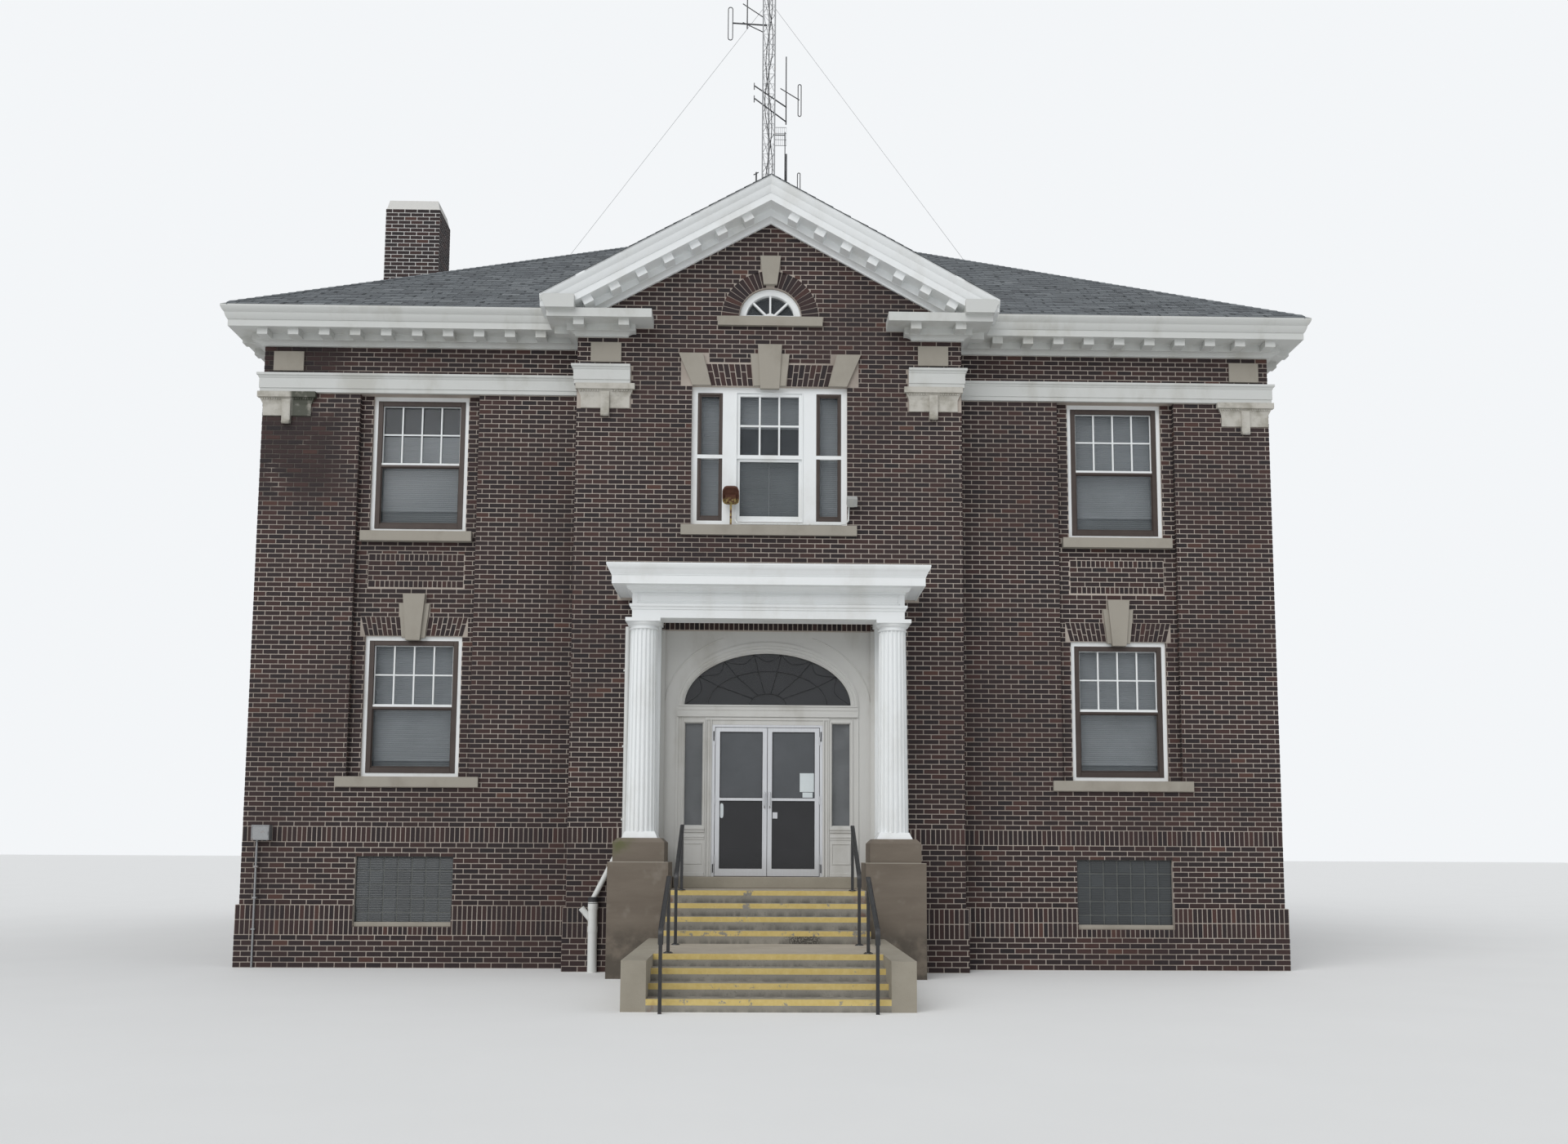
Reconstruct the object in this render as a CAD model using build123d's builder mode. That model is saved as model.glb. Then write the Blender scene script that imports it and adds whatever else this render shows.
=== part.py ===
"""Two-storey brick town hall with a pedimented centre bay, a columned porch and a double entrance door.

Millimetres. X runs along the front to the right, Y into the building, Z up.
The origin is on the centre line, in the plane of the wing walls, level with the walk at the steps' foot.
"""
from build123d import *

import math
import os

# Plan of the walls
wing_half = 7650
bay_half = 2850
bay_projection = 500
building_depth = 16800
wall_thickness = 400
base_step = 40
panel_recess = 100

# Levels of the steps and floors
lower_risers = 4
lower_riser = 135
upper_risers = 4
upper_riser = 160
door_step = 165
landing_z = lower_risers * lower_riser
porch_z = landing_z + upper_risers * upper_riser
sill_z = porch_z + door_step
floor_slab = 200
basement_z = 300
main_z = 1950
upper_z = 5700
attic_z = 9150

# Levels of the front
base_top_z = 900
basement_window_z = 590
lower_sill_z = 2620
upper_sill_z = 6310
window_sill_height = 150
architrave_z = 8570
architrave_height = 290
cornice_z = 9290

# Windows
window_width = 1440
window_height = architrave_z - upper_sill_z - window_sill_height
panel_width = 1800
window_x = 5290
center_window_width = 2300
glass_block = 203
block_columns = 7
block_rows = 5
frame_depth = 110
frame_face = 85
meeting_rail = 55
center_post = 215
center_post_x = 587
glass_thickness = 24

lunette_radius = 465
lunette_sill_z = 9630
lunette_glass_radius = 360
lunette_rail = 60
lunette_sill_half = 780

# Main cornice, as steps out from the wall and up from its lowest moulding
bed_reach = 150
bed_height = 50
soffit_height = 150
corona_reach = 410
corona_height = 100
overhang = 500
cornice_height = 450
modillion_width = 155
modillion_height = 95
modillion_reach = 350
modillion_pitch = 460

# Roof
roof_pitch = 0.67
roof_board = 130
pediment_rise = 1860

# Porch
column_x = 1745
column_y = 600
column_radius = 215
column_top_radius = 190
column_base_height = 90
column_cap_height = 50
pedestal_top_z = 1880
pedestal_split_z = 1555
pedestal_width = 820
pedestal_cap_width = 700
entablature_z = 4930
entablature_half = 1900
entablature_depth = 800
porch_cornice_top_z = 5640
porch_overhang = 330

# Entrance
surround_half = 1500
surround_top_z = 4890
arch_half = 1205
spring_z = 3810
arch_top_z = 4570
transom_height = 175
leaf_width = 745
leaf_height = 2130
leaf_thickness = 45
leaf_gap = 8
door_frame_face = 50

# Steps
step_half = 1310
tread = 300
porch_nosing_y = -1600
landing_depth = 1600
cheek_width = 270
rail_x = 1148
rail_height = 860
rail_width = 56
rail_depth = 44
rail_round = 12
rail_bend = 70
post_half = 19

# Roof furniture
chimney_inset = 1120
chimney_y = 3600
chimney_width = 980
chimney_length = 760
chimney_top_z = 13580
mast_top_z = 21600
guy_z = 20400
guy_inset = 60
guy_front_y = 2200

# Worked out from the values above
cornice_top_z = cornice_z + cornice_height
eave_half = wing_half + overhang
bay_front = -bay_projection
inner_half = wing_half - wall_thickness
back_y = building_depth
inner_back_y = building_depth - wall_thickness
gable_half = bay_half + overhang
gable_slope = pediment_rise / gable_half
apex_z = cornice_top_z + pediment_rise
ridge_z = cornice_top_z + roof_pitch * min(eave_half, building_depth / 2 + overhang)
chimney_x = chimney_inset - wing_half
mast_y = building_depth / 2
lower_window_z = lower_sill_z + window_sill_height
upper_window_z = upper_sill_z + window_sill_height
block_width = glass_block * block_columns
block_height = glass_block * block_rows
corner_to_window = wing_half - window_x
side_rows = 4
side_pitch = (building_depth - 2 * corner_to_window) / (side_rows - 1)
side_windows = [corner_to_window + i * side_pitch for i in range(side_rows)]
back_windows = [window_x * s for s in (-1, -1 / 3, 1 / 3, 1)]
foot_y = porch_nosing_y - (upper_risers - 1) * tread
landing_edge_y = foot_y - landing_depth
walk_y = landing_edge_y - (lower_risers - 1) * tread
pedestal_outer = column_x + pedestal_width / 2
pedestal_inner = column_x - pedestal_width / 2

# Window places as (centre along the wall, bottom, width, height)
def window_places(centres):
    """Lower and upper openings of one wall."""
    rows = ((lower_window_z, window_height), (upper_window_z, window_height))
    return [(c, z, window_width, h) for c in centres for z, h in rows]


def block(x, y, z, mode=Mode.ADD):
    """A block from its low and high limits along each axis."""
    with Locations(((x[0] + x[1]) / 2, (y[0] + y[1]) / 2, (z[0] + z[1]) / 2)):
        Box(abs(x[1] - x[0]), abs(y[1] - y[0]), abs(z[1] - z[0]), mode=mode)


def openings(places, mode=Mode.SUBTRACT):
    """Rectangles of the wall's sketch, from centre, bottom, width and height."""
    for centre, bottom, width, height in places:
        with Locations((centre, bottom + height / 2)):
            Rectangle(width, height, mode=mode)


def panelled_wall(plane, low, high, base_low, centres):
    """A wall with tall shallow panels, its two rows of windows and the basement row cut through."""
    top = cornice_top_z + roof_pitch * overhang - roof_board
    with BuildPart() as wall:
        with BuildSketch(plane):
            with Locations(((low + high) / 2, top / 2)):
                Rectangle(high - low, top)
            openings(window_places(centres))
            openings([(c, basement_window_z, block_width, block_height) for c in centres])
        extrude(amount=-wall_thickness)
        with BuildSketch(plane):
            openings([(c, lower_sill_z, panel_width, architrave_z - lower_sill_z) for c in centres], Mode.ADD)
        extrude(amount=-panel_recess, mode=Mode.SUBTRACT)
        with BuildSketch(plane):
            with Locations(((base_low + high) / 2, base_top_z / 2)):
                Rectangle(high - base_low, base_top_z)
            openings([(c, basement_window_z, block_width, block_height) for c in centres])
        extrude(amount=base_step)
    return wall.part


front_plane = Plane.XZ
back_plane = Plane(origin=(0, back_y, 0), x_dir=(-1, 0, 0), z_dir=(0, 1, 0))
right_plane = Plane(origin=(wing_half, 0, 0), x_dir=(0, 1, 0), z_dir=(1, 0, 0))

# Brick walls
with BuildPart() as wing_wall_right:
    add(panelled_wall(front_plane, bay_half - wall_thickness, inner_half, bay_half, [window_x]))
wing_wall_right.part.label = "wing_wall_right"

with BuildPart() as wing_wall_left:
    mirror(wing_wall_right.part, about=Plane.YZ)
wing_wall_left.part.label = "wing_wall_left"

with BuildPart() as side_wall_right:
    add(panelled_wall(right_plane, 0, back_y, 0, side_windows))
    block((inner_half, wing_half + base_step), (-base_step, 0), (0, base_top_z))
    block((inner_half, wing_half + base_step), (back_y, back_y + base_step), (0, base_top_z))
side_wall_right.part.label = "side_wall_right"

with BuildPart() as side_wall_left:
    mirror(side_wall_right.part, about=Plane.YZ)
side_wall_left.part.label = "side_wall_left"

with BuildPart() as back_wall:
    add(panelled_wall(back_plane, -inner_half, inner_half, -inner_half, back_windows))
back_wall.part.label = "back_wall"

with BuildPart() as bay_wall_right:
    block((surround_half, bay_half), (bay_front, bay_front + wall_thickness), (0, surround_top_z))
    block((bay_half - wall_thickness, bay_half), (bay_front, 0), (0, surround_top_z))
    block((0, surround_half), (bay_front, bay_front + wall_thickness), (0, sill_z))
    block((bay_half, bay_half + base_step), (bay_front - base_step, -base_step), (0, base_top_z))
    block((pedestal_outer, bay_half), (bay_front - base_step, bay_front), (0, base_top_z))
bay_wall_right.part.label = "bay_wall_right"

with BuildPart() as bay_wall_left:
    mirror(bay_wall_right.part, about=Plane.YZ)
bay_wall_left.part.label = "bay_wall_left"

with BuildPart() as bay_wall_upper:
    with BuildSketch(Plane.XZ.offset(bay_projection)):
        with BuildLine():
            shoulder_z = apex_z - roof_board - gable_slope * bay_half
            Polyline((-bay_half, surround_top_z), (bay_half, surround_top_z), (bay_half, shoulder_z),
                     (0, apex_z - roof_board), (-bay_half, shoulder_z), close=True)
        make_face()
        openings([(0, upper_window_z, center_window_width, window_height)])
        with Locations((0, lunette_sill_z)):
            Circle(lunette_radius, mode=Mode.SUBTRACT)
        with Locations((0, lunette_sill_z - lunette_radius / 2)):
            Rectangle(2 * lunette_radius, lunette_radius)
    extrude(amount=-wall_thickness)
    for side in (-1, 1):
        block((side * (bay_half - wall_thickness), side * bay_half), (bay_front + wall_thickness, 0),
              (surround_top_z, shoulder_z))
bay_wall_upper.part.label = "bay_wall_upper"

# Floors
hall_half = 1300
hall_depth = 2400



def floor_plate(low, high):
    """A floor between the walls, reaching forward into the bay."""
    bay_inner = bay_half - wall_thickness
    block((-inner_half, inner_half), (wall_thickness, inner_back_y), (low, high))
    block((-bay_inner, bay_inner), (bay_front + wall_thickness, wall_thickness), (low, high))


with BuildPart() as basement_floor:
    floor_plate(0, basement_z)
basement_floor.part.label = "basement_floor"

with BuildPart() as main_floor:
    floor_plate(main_z - floor_slab, main_z)
    block((-hall_half, hall_half), (bay_front + wall_thickness, hall_depth), (main_z - floor_slab, main_z),
          Mode.SUBTRACT)
main_floor.part.label = "main_floor"

with BuildPart() as entrance_floor:
    block((-hall_half, hall_half), (bay_front + wall_thickness, hall_depth), (sill_z - floor_slab, sill_z))
entrance_floor.part.label = "entrance_floor"

with BuildPart() as upper_floor:
    floor_plate(upper_z - floor_slab, upper_z)
upper_floor.part.label = "upper_floor"

with BuildPart() as attic_floor:
    floor_plate(attic_z - floor_slab, attic_z)
attic_floor.part.label = "attic_floor"


# Roof: a hipped roof, cut by the gable of the bay
def hip_body(drop):
    """The solid under the hipped roof, lowered by the thickness of the boards."""
    half = eave_half - drop / roof_pitch
    front = -overhang + drop / roof_pitch
    back = back_y + overhang - drop / roof_pitch
    with BuildPart() as body:
        with BuildSketch(Plane.XZ.offset(-front)):
            with BuildLine():
                Polyline((-half, cornice_top_z), (half, cornice_top_z),
                         (0, cornice_top_z + roof_pitch * half), close=True)
            make_face()
        extrude(amount=front - back)
        with BuildSketch(Plane.YZ.offset(-half)):
            with BuildLine():
                Polyline((front, cornice_top_z), (back, cornice_top_z),
                         ((front + back) / 2, cornice_top_z + roof_pitch * (back - front) / 2), close=True)
            make_face()
        extrude(amount=2 * half, mode=Mode.INTERSECT)
    return body.part


def gable_body(drop, front):
    """The solid under the gable roof of the bay, lowered by the thickness of the boards."""
    half = gable_half - drop / gable_slope
    with BuildPart() as body:
        with BuildSketch(Plane.XZ.offset(-front)):
            with BuildLine():
                Polyline((-half, cornice_top_z), (half, cornice_top_z),
                         (0, cornice_top_z + gable_slope * half), close=True)
            make_face()
        extrude(amount=front - pediment_rise / roof_pitch - overhang)
    return body.part


hip_outer = hip_body(0)
hip_inner = hip_body(roof_board)
gable_front = bay_front - overhang
gable_cyma = 100
hip_left = Plane(origin=(-eave_half, -overhang, 0), x_dir=(0, 0, 1), z_dir=(1, -1, 0))
hip_right = Plane(origin=(eave_half, -overhang, 0), x_dir=(0, 0, 1), z_dir=(-1, -1, 0))
hip_back_left = Plane(origin=(-eave_half, back_y + overhang, 0), x_dir=(0, 0, 1), z_dir=(1, 1, 0))
hip_back_right = Plane(origin=(eave_half, back_y + overhang, 0), x_dir=(0, 0, 1), z_dir=(-1, 1, 0))
half_way = Plane(origin=(0, back_y / 2, 0), x_dir=(0, 0, 1), z_dir=(0, 1, 0))

with BuildPart() as roof_front:
    add(hip_outer)
    add(hip_inner, mode=Mode.SUBTRACT)
    split(bisect_by=hip_left, keep=Keep.TOP)
    split(bisect_by=hip_right, keep=Keep.TOP)
    split(bisect_by=half_way, keep=Keep.BOTTOM)
    add(gable_body(0, gable_front), mode=Mode.SUBTRACT)
roof_front.part.label = "roof_front"

with BuildPart() as roof_back:
    add(hip_outer)
    add(hip_inner, mode=Mode.SUBTRACT)
    split(bisect_by=hip_back_left, keep=Keep.TOP)
    split(bisect_by=hip_back_right, keep=Keep.TOP)
    split(bisect_by=half_way, keep=Keep.TOP)
roof_back.part.label = "roof_back"

with BuildPart() as roof_left:
    add(hip_outer)
    add(hip_inner, mode=Mode.SUBTRACT)
    split(bisect_by=hip_left, keep=Keep.BOTTOM)
    split(bisect_by=hip_back_left, keep=Keep.BOTTOM)
    split(bisect_by=Plane.YZ, keep=Keep.BOTTOM)
    with Locations((chimney_x, chimney_y + chimney_length / 2, ridge_z)):
        Box(chimney_width, chimney_length, 3 * ridge_z, mode=Mode.SUBTRACT)
roof_left.part.label = "roof_left"

with BuildPart() as roof_right:
    add(hip_outer)
    add(hip_inner, mode=Mode.SUBTRACT)
    split(bisect_by=hip_right, keep=Keep.BOTTOM)
    split(bisect_by=hip_back_right, keep=Keep.BOTTOM)
    split(bisect_by=Plane.YZ, keep=Keep.TOP)
roof_right.part.label = "roof_right"

with BuildPart() as gable_roof:
    add(gable_body(0, gable_front + gable_cyma))
    add(gable_body(roof_board, gable_front), mode=Mode.SUBTRACT)
    add(hip_inner, mode=Mode.SUBTRACT)
gable_roof.part.label = "gable_roof"


# Wooden cornice with modillions
def bed_and_corona(top):
    """Outline of the lower cornice: bed mouldings, soffit and corona, out from the wall."""
    with BuildSketch() as outline:
        with BuildLine():
            foot = Line((0, 0), (40, 0))
            riser = Line(foot @ 1, (40, bed_height * 0.4))
            cove = ThreePointArc(riser @ 1, (70, bed_height * 0.78), (bed_reach, bed_height))
            face = Line(cove @ 1, (bed_reach, soffit_height))
            soffit = Line(face @ 1, (corona_reach, soffit_height))
            corona = Line(soffit @ 1, (corona_reach, top))
            back = Line(corona @ 1, (0, top))
            Line(back @ 1, (0, 0))
        make_face()
    return outline.sketch


def cyma():
    """Outline of the crown moulding on the corona, an S curve under a thin fillet."""
    base = soffit_height + corona_height
    crown = cornice_height - 30
    middle = ((corona_reach + overhang) / 2, (base + crown) / 2 + 10)
    with BuildSketch() as outline:
        with BuildLine():
            low = Line((0, base), (corona_reach + 8, base))
            convex = ThreePointArc(low @ 1, (corona_reach + 34, base + 52), middle)
            concave = ThreePointArc(convex @ 1, (overhang - 24, crown - 50), (overhang, crown))
            fillet_face = Line(concave @ 1, (overhang, cornice_height))
            top = Line(fillet_face @ 1, (0, cornice_height))
            Line(top @ 1, (0, base))
        make_face()
    return outline.sketch


return_end = 2140
lip_height = soffit_height + corona_height + 30

with BuildPart() as front_cornice:
    with BuildLine():
        Polyline((-eave_half - overhang, 0, cornice_z), (-bay_half, 0, cornice_z),
                 (-bay_half, bay_front, cornice_z), (-return_end, bay_front, cornice_z),
                 (-return_end, bay_front + base_step, cornice_z))
    with BuildSketch(Plane(origin=(-eave_half - overhang, 0, cornice_z), x_dir=(0, -1, 0), z_dir=(-1, 0, 0))):
        add(bed_and_corona(lip_height))
    sweep(transition=Transition.RIGHT)
    block((-bay_half, 0), (bay_front, overhang), (cornice_z - overhang, cornice_top_z), Mode.SUBTRACT)
with BuildPart() as front_crown:
    with BuildLine():
        Polyline((-eave_half - overhang, 0, cornice_z), (-bay_half, 0, cornice_z),
                 (-bay_half, gable_front, cornice_z))
    with BuildSketch(Plane(origin=(-eave_half - overhang, 0, cornice_z), x_dir=(0, -1, 0), z_dir=(-1, 0, 0))):
        add(cyma())
    sweep(transition=Transition.RIGHT)

rake_angle = math.degrees(math.atan(gable_slope))
rake_drop = cornice_height / math.cos(math.radians(rake_angle))
rake_origin = (0, bay_front, apex_z - rake_drop)
rake_along = Vector(math.cos(math.radians(rake_angle)), 0, -math.sin(math.radians(rake_angle)))
rake_up = Vector(math.sin(math.radians(rake_angle)), 0, math.cos(math.radians(rake_angle)))
rake_first = 330
rake_pitch = 445
rake_modillions = int((bay_half / math.cos(math.radians(rake_angle)) - rake_first) / rake_pitch) + 1

with BuildPart() as pediment_rakes:
    rake_start = Vector(*rake_origin) - rake_along * overhang
    with BuildSketch(Plane(origin=rake_start, x_dir=(0, -1, 0), z_dir=-rake_along)):
        add(bed_and_corona(lip_height))
        add(cyma())
    extrude(amount=-(gable_half + 2 * overhang) / math.cos(math.radians(rake_angle)))
    for i in range(rake_modillions):
        place = Vector(*rake_origin) + rake_along * (rake_first + i * rake_pitch)
        seat = Plane(origin=place, x_dir=rake_along, z_dir=rake_up)
        with BuildSketch(seat.offset(soffit_height - modillion_height)):
            with Locations((0, -(bed_reach + modillion_reach) / 2)):
                Rectangle(modillion_width, modillion_reach - bed_reach)
        extrude(amount=modillion_height)
    split(bisect_by=Plane.YZ, keep=Keep.TOP)
    block((gable_half, 2 * gable_half), (2 * gable_front, 0), (0, apex_z), Mode.SUBTRACT)
    block((0, 2 * gable_half), (2 * gable_front, 0), (0, cornice_z + lip_height), Mode.SUBTRACT)
    add(gable_roof.part, mode=Mode.SUBTRACT)
    mirror(about=Plane.YZ)
pediment_rakes.part.label = "pediment_rakes"

modillion_z = (cornice_z + soffit_height - modillion_height, cornice_z + soffit_height)
modillion_outreach = (-modillion_reach, -bed_reach)
bay_modillions = (-bay_half + 50, -return_end)
corner_mitre = Plane(origin=(-wing_half, 0, 0), x_dir=(0, 0, 1), z_dir=(1, -1, 0))
bay_mitre = Plane(origin=(-bay_half, 0, 0), x_dir=(0, 0, 1), z_dir=(1, -1, 0))


def across(centre):
    """Low and high limit of a modillion about its centre."""
    return (centre - modillion_width / 2, centre + modillion_width / 2)


def row(length):
    """Centres of the modillions that fill a length, with one flush at each end."""
    spaces = round((length - modillion_width) / modillion_pitch)
    return [modillion_width / 2 + i * (length - modillion_width) / spaces for i in range(spaces + 1)]


with BuildPart() as cornice_front:
    add(front_cornice.part)
    add(front_crown.part)
    split(bisect_by=corner_mitre, keep=Keep.TOP)
    split(bisect_by=bay_mitre, keep=Keep.BOTTOM)
    for i in range(int((wing_half - gable_half) / modillion_pitch) + 1):
        block(across(-wing_half + modillion_width / 2 + i * modillion_pitch), modillion_outreach, modillion_z)
    add(pediment_rakes.part, mode=Mode.SUBTRACT)
    mirror(about=Plane.YZ)
cornice_front.part.label = "cornice_front"

with BuildPart() as cornice_returns:
    add(front_cornice.part)
    add(front_crown.part)
    split(bisect_by=bay_mitre, keep=Keep.TOP)
    for centre in bay_modillions:
        block(across(centre), (bay_front - modillion_reach, bay_front - bed_reach), modillion_z)
    block((-bay_half - modillion_reach, -bay_half - bed_reach), (bay_front, bay_front + modillion_width),
          modillion_z)
    add(pediment_rakes.part, mode=Mode.SUBTRACT)
    mirror(about=Plane.YZ)
cornice_returns.part.label = "cornice_returns"


with BuildPart() as cornice_side_right:
    with BuildSketch(Plane(origin=(wing_half, -overhang, cornice_z), x_dir=(1, 0, 0), z_dir=(0, -1, 0))):
        add(bed_and_corona(lip_height))
        add(cyma())
    extrude(amount=-(building_depth + 2 * overhang))
    for centre in row(building_depth):
        block((wing_half + bed_reach, wing_half + modillion_reach), across(centre), modillion_z)
    split(bisect_by=Plane(origin=(wing_half, 0, 0), x_dir=(0, 0, 1), z_dir=(1, 1, 0)), keep=Keep.TOP)
    split(bisect_by=Plane(origin=(wing_half, back_y, 0), x_dir=(0, 0, 1), z_dir=(1, -1, 0)), keep=Keep.TOP)

with BuildPart() as cornice_sides:
    add(cornice_side_right.part)
    mirror(about=Plane.YZ)
cornice_sides.part.label = "cornice_sides"

with BuildPart() as cornice_back:
    with BuildSketch(Plane(origin=(-eave_half, back_y, cornice_z), x_dir=(0, 1, 0), z_dir=(1, 0, 0))):
        add(bed_and_corona(lip_height))
        add(cyma())
    extrude(amount=2 * eave_half)
    for centre in row(2 * wing_half):
        block(across(centre - wing_half), (back_y + bed_reach, back_y + modillion_reach), modillion_z)
    split(bisect_by=Plane(origin=(wing_half, back_y, 0), x_dir=(0, 0, 1), z_dir=(-1, 1, 0)), keep=Keep.TOP)
    split(bisect_by=Plane(origin=(-wing_half, back_y, 0), x_dir=(0, 0, 1), z_dir=(1, 1, 0)), keep=Keep.TOP)
cornice_back.part.label = "cornice_back"

# Stone and white trim on the brick
def wall_locations(front, side, rear, z=0):
    """Places along the four walls for a piece made about x = 0 in front of the plane y = 0."""
    places = [Location((c * s, 0, z)) for c in front for s in (-1, 1)]
    places += [Location((wing_half, c, z), (0, 0, 90)) for c in side]
    places += [Location((-wing_half, c, z), (0, 0, -90)) for c in side]
    places += [Location((c, back_y, z), (0, 0, 180)) for c in rear]
    return places


every_window = wall_locations([window_x], side_windows, back_windows)

lower_sill_half = 1045
lower_sill_reach = 50
upper_sill_half = 830
upper_sill_reach = 10
center_sill_half = 1290
bay_sill_reach = 60
lunette_sill_height = 140

with BuildPart() as lower_sill:
    block((-lower_sill_half, lower_sill_half), (-lower_sill_reach, 0), (lower_sill_z, lower_window_z))
    block((-panel_width / 2, panel_width / 2), (0, panel_recess), (lower_sill_z, lower_window_z))
with BuildPart() as upper_sill:
    block((-upper_sill_half, upper_sill_half), (-upper_sill_reach, panel_recess),
          (upper_sill_z, upper_window_z))
with BuildPart() as window_sills:
    with Locations(*every_window):
        add(lower_sill.part)
        add(upper_sill.part)
    block((-center_sill_half, center_sill_half), (bay_front - bay_sill_reach, bay_front),
          (upper_sill_z, upper_window_z))
    block((-lunette_sill_half, lunette_sill_half), (bay_front - bay_sill_reach, bay_front),
          (lunette_sill_z - lunette_sill_height, lunette_sill_z))
window_sills.part.label = "window_sills"


def stone(corners, depth):
    """A flat stone from the corners of its face, standing out from the plane y = 0."""
    with BuildPart() as piece:
        with BuildSketch(Plane.XZ):
            with BuildLine():
                Polyline(*corners, close=True)
            make_face()
        extrude(amount=depth)
    return piece.part


def wedge(bottom, top, low, high, depth):
    """A keystone that widens upward, from its two widths and two heights."""
    return stone([(-bottom / 2, low), (bottom / 2, low), (top / 2, high), (-top / 2, high)], depth)


keystone_proud = 80
center_keystone_proud = 60
side_stone_proud = 40
lower_keystone = (210, 330, lower_window_z + window_height - 70, 5510)
lower_side_stones = (343, 455, lower_window_z + window_height - 30, 5370)
center_keystone = (280, 355, architrave_z - 50, 9200)
center_side_stones = (475, 580, architrave_z, 9060)
skewback = [(center_window_width / 2 - 283, architrave_z), (center_window_width / 2 - 6, architrave_z),
            (center_window_width / 2 + 202, 9060), (center_window_width / 2 - 153, 9060)]
lunette_keystone = (200, 310, lunette_sill_z + lunette_radius + 35, 10570)

with BuildPart() as keystones:
    with Locations(*wall_locations([window_x], side_windows, back_windows)):
        with Locations((0, panel_recess, 0)):
            add(wedge(*lower_keystone, keystone_proud))
            add(wedge(*lower_side_stones, side_stone_proud))
    with Locations((0, bay_front, 0)):
        add(wedge(*center_keystone, center_keystone_proud))
        add(wedge(*center_side_stones, side_stone_proud))
        add(wedge(*lunette_keystone, center_keystone_proud))
        add(stone(skewback, side_stone_proud))
        add(stone([(-x, z) for x, z in skewback], side_stone_proud))
keystones.part.label = "keystones"

tablet_width = 450
tablet_height = 300
tablet_proud = 30
tablet_z = 8910
pier_inset = 370
pier_x = wing_half - pier_inset
bay_pier_x = bay_half - 420

with BuildPart() as tablet:
    block((-tablet_width / 2, tablet_width / 2), (-tablet_proud, 0), (tablet_z, tablet_z + tablet_height))
with BuildPart() as frieze_tablets:
    with Locations(*wall_locations([pier_x], [pier_inset, back_y - pier_inset], [-pier_x, pier_x])):
        add(tablet.part)
    with Locations((-bay_pier_x, bay_front, 0), (bay_pier_x, bay_front, 0)):
        add(tablet.part)
frieze_tablets.part.label = "frieze_tablets"

architrave_reach = 85
capital_width = 870
capital_z = 8210


def architrave():
    """Outline of the band over the upper windows: two fasciae under a small crown, out from the wall."""
    with BuildSketch() as outline:
        with BuildLine():
            Polyline((0, 0), (42, 0), (42, 62), (52, 62), (52, 212), (62, 224))
            ThreePointArc((62, 224), (68, 244), (architrave_reach, 256))
            Polyline((architrave_reach, 256), (architrave_reach, architrave_height), (0, architrave_height),
                     (0, 0))
        make_face()
    return outline.sketch


with BuildPart() as architrave_band:
    with BuildLine():
        Polyline((-bay_half, 0, architrave_z), (-wing_half, 0, architrave_z),
                 (-wing_half, back_y, architrave_z), (wing_half, back_y, architrave_z),
                 (wing_half, 0, architrave_z), (bay_half, 0, architrave_z))
    with BuildSketch(Plane(origin=(-bay_half, 0, architrave_z), x_dir=(0, -1, 0), z_dir=(-1, 0, 0))):
        add(architrave())
    sweep(transition=Transition.RIGHT)
    with BuildLine():
        Polyline((bay_half, 0, architrave_z), (bay_half, bay_front, architrave_z),
                 (bay_half - capital_width + architrave_reach, bay_front, architrave_z))
    with BuildSketch(Plane(origin=(bay_half, 0, architrave_z), x_dir=(1, 0, 0), z_dir=(0, -1, 0))):
        add(architrave())
    sweep(transition=Transition.RIGHT)
    with BuildLine():
        Polyline((-bay_half + capital_width - architrave_reach, bay_front, architrave_z),
                 (-bay_half, bay_front, architrave_z), (-bay_half, 0, architrave_z))
    with BuildSketch(Plane(origin=(-bay_half + capital_width - architrave_reach, bay_front, architrave_z),
                           x_dir=(0, -1, 0), z_dir=(-1, 0, 0))):
        add(architrave())
    sweep(transition=Transition.RIGHT)
architrave_band.part.label = "architrave_band"

capital_top = 85
capital_beads = 105
capital_reach = 75
bead_reach = 48
neck_reach = 22
pendant_width = 125
pendant_z = 8090
pendant_reach = 58

with BuildPart() as capital:
    top_z = architrave_z - capital_top
    block((-capital_width / 2, capital_width / 2), (-capital_reach, 0), (top_z, architrave_z))
    with BuildSketch(Plane.XY.offset(top_z)):
        with Locations((0, -bead_reach / 2)):
            Rectangle(capital_width - 2 * (capital_reach - bead_reach), bead_reach)
    with BuildSketch(Plane.XY.offset(top_z - capital_beads)):
        with Locations((0, -neck_reach / 2)):
            Rectangle(capital_width - 2 * capital_reach, neck_reach)
    loft()
    block((capital_reach - capital_width / 2, capital_width / 2 - capital_reach), (-neck_reach, 0),
          (capital_z, top_z - capital_beads))
    block((-pendant_width / 2, pendant_width / 2), (-pendant_reach, 0),
          (pendant_z, top_z - capital_beads / 3))
with BuildPart() as pier_capitals:
    with Locations(*wall_locations([pier_x], [], [-pier_x, pier_x])):
        add(capital.part)
    with Locations((-bay_pier_x, bay_front, 0), (bay_pier_x, bay_front, 0)):
        add(capital.part)
pier_capitals.part.label = "pier_capitals"


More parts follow.
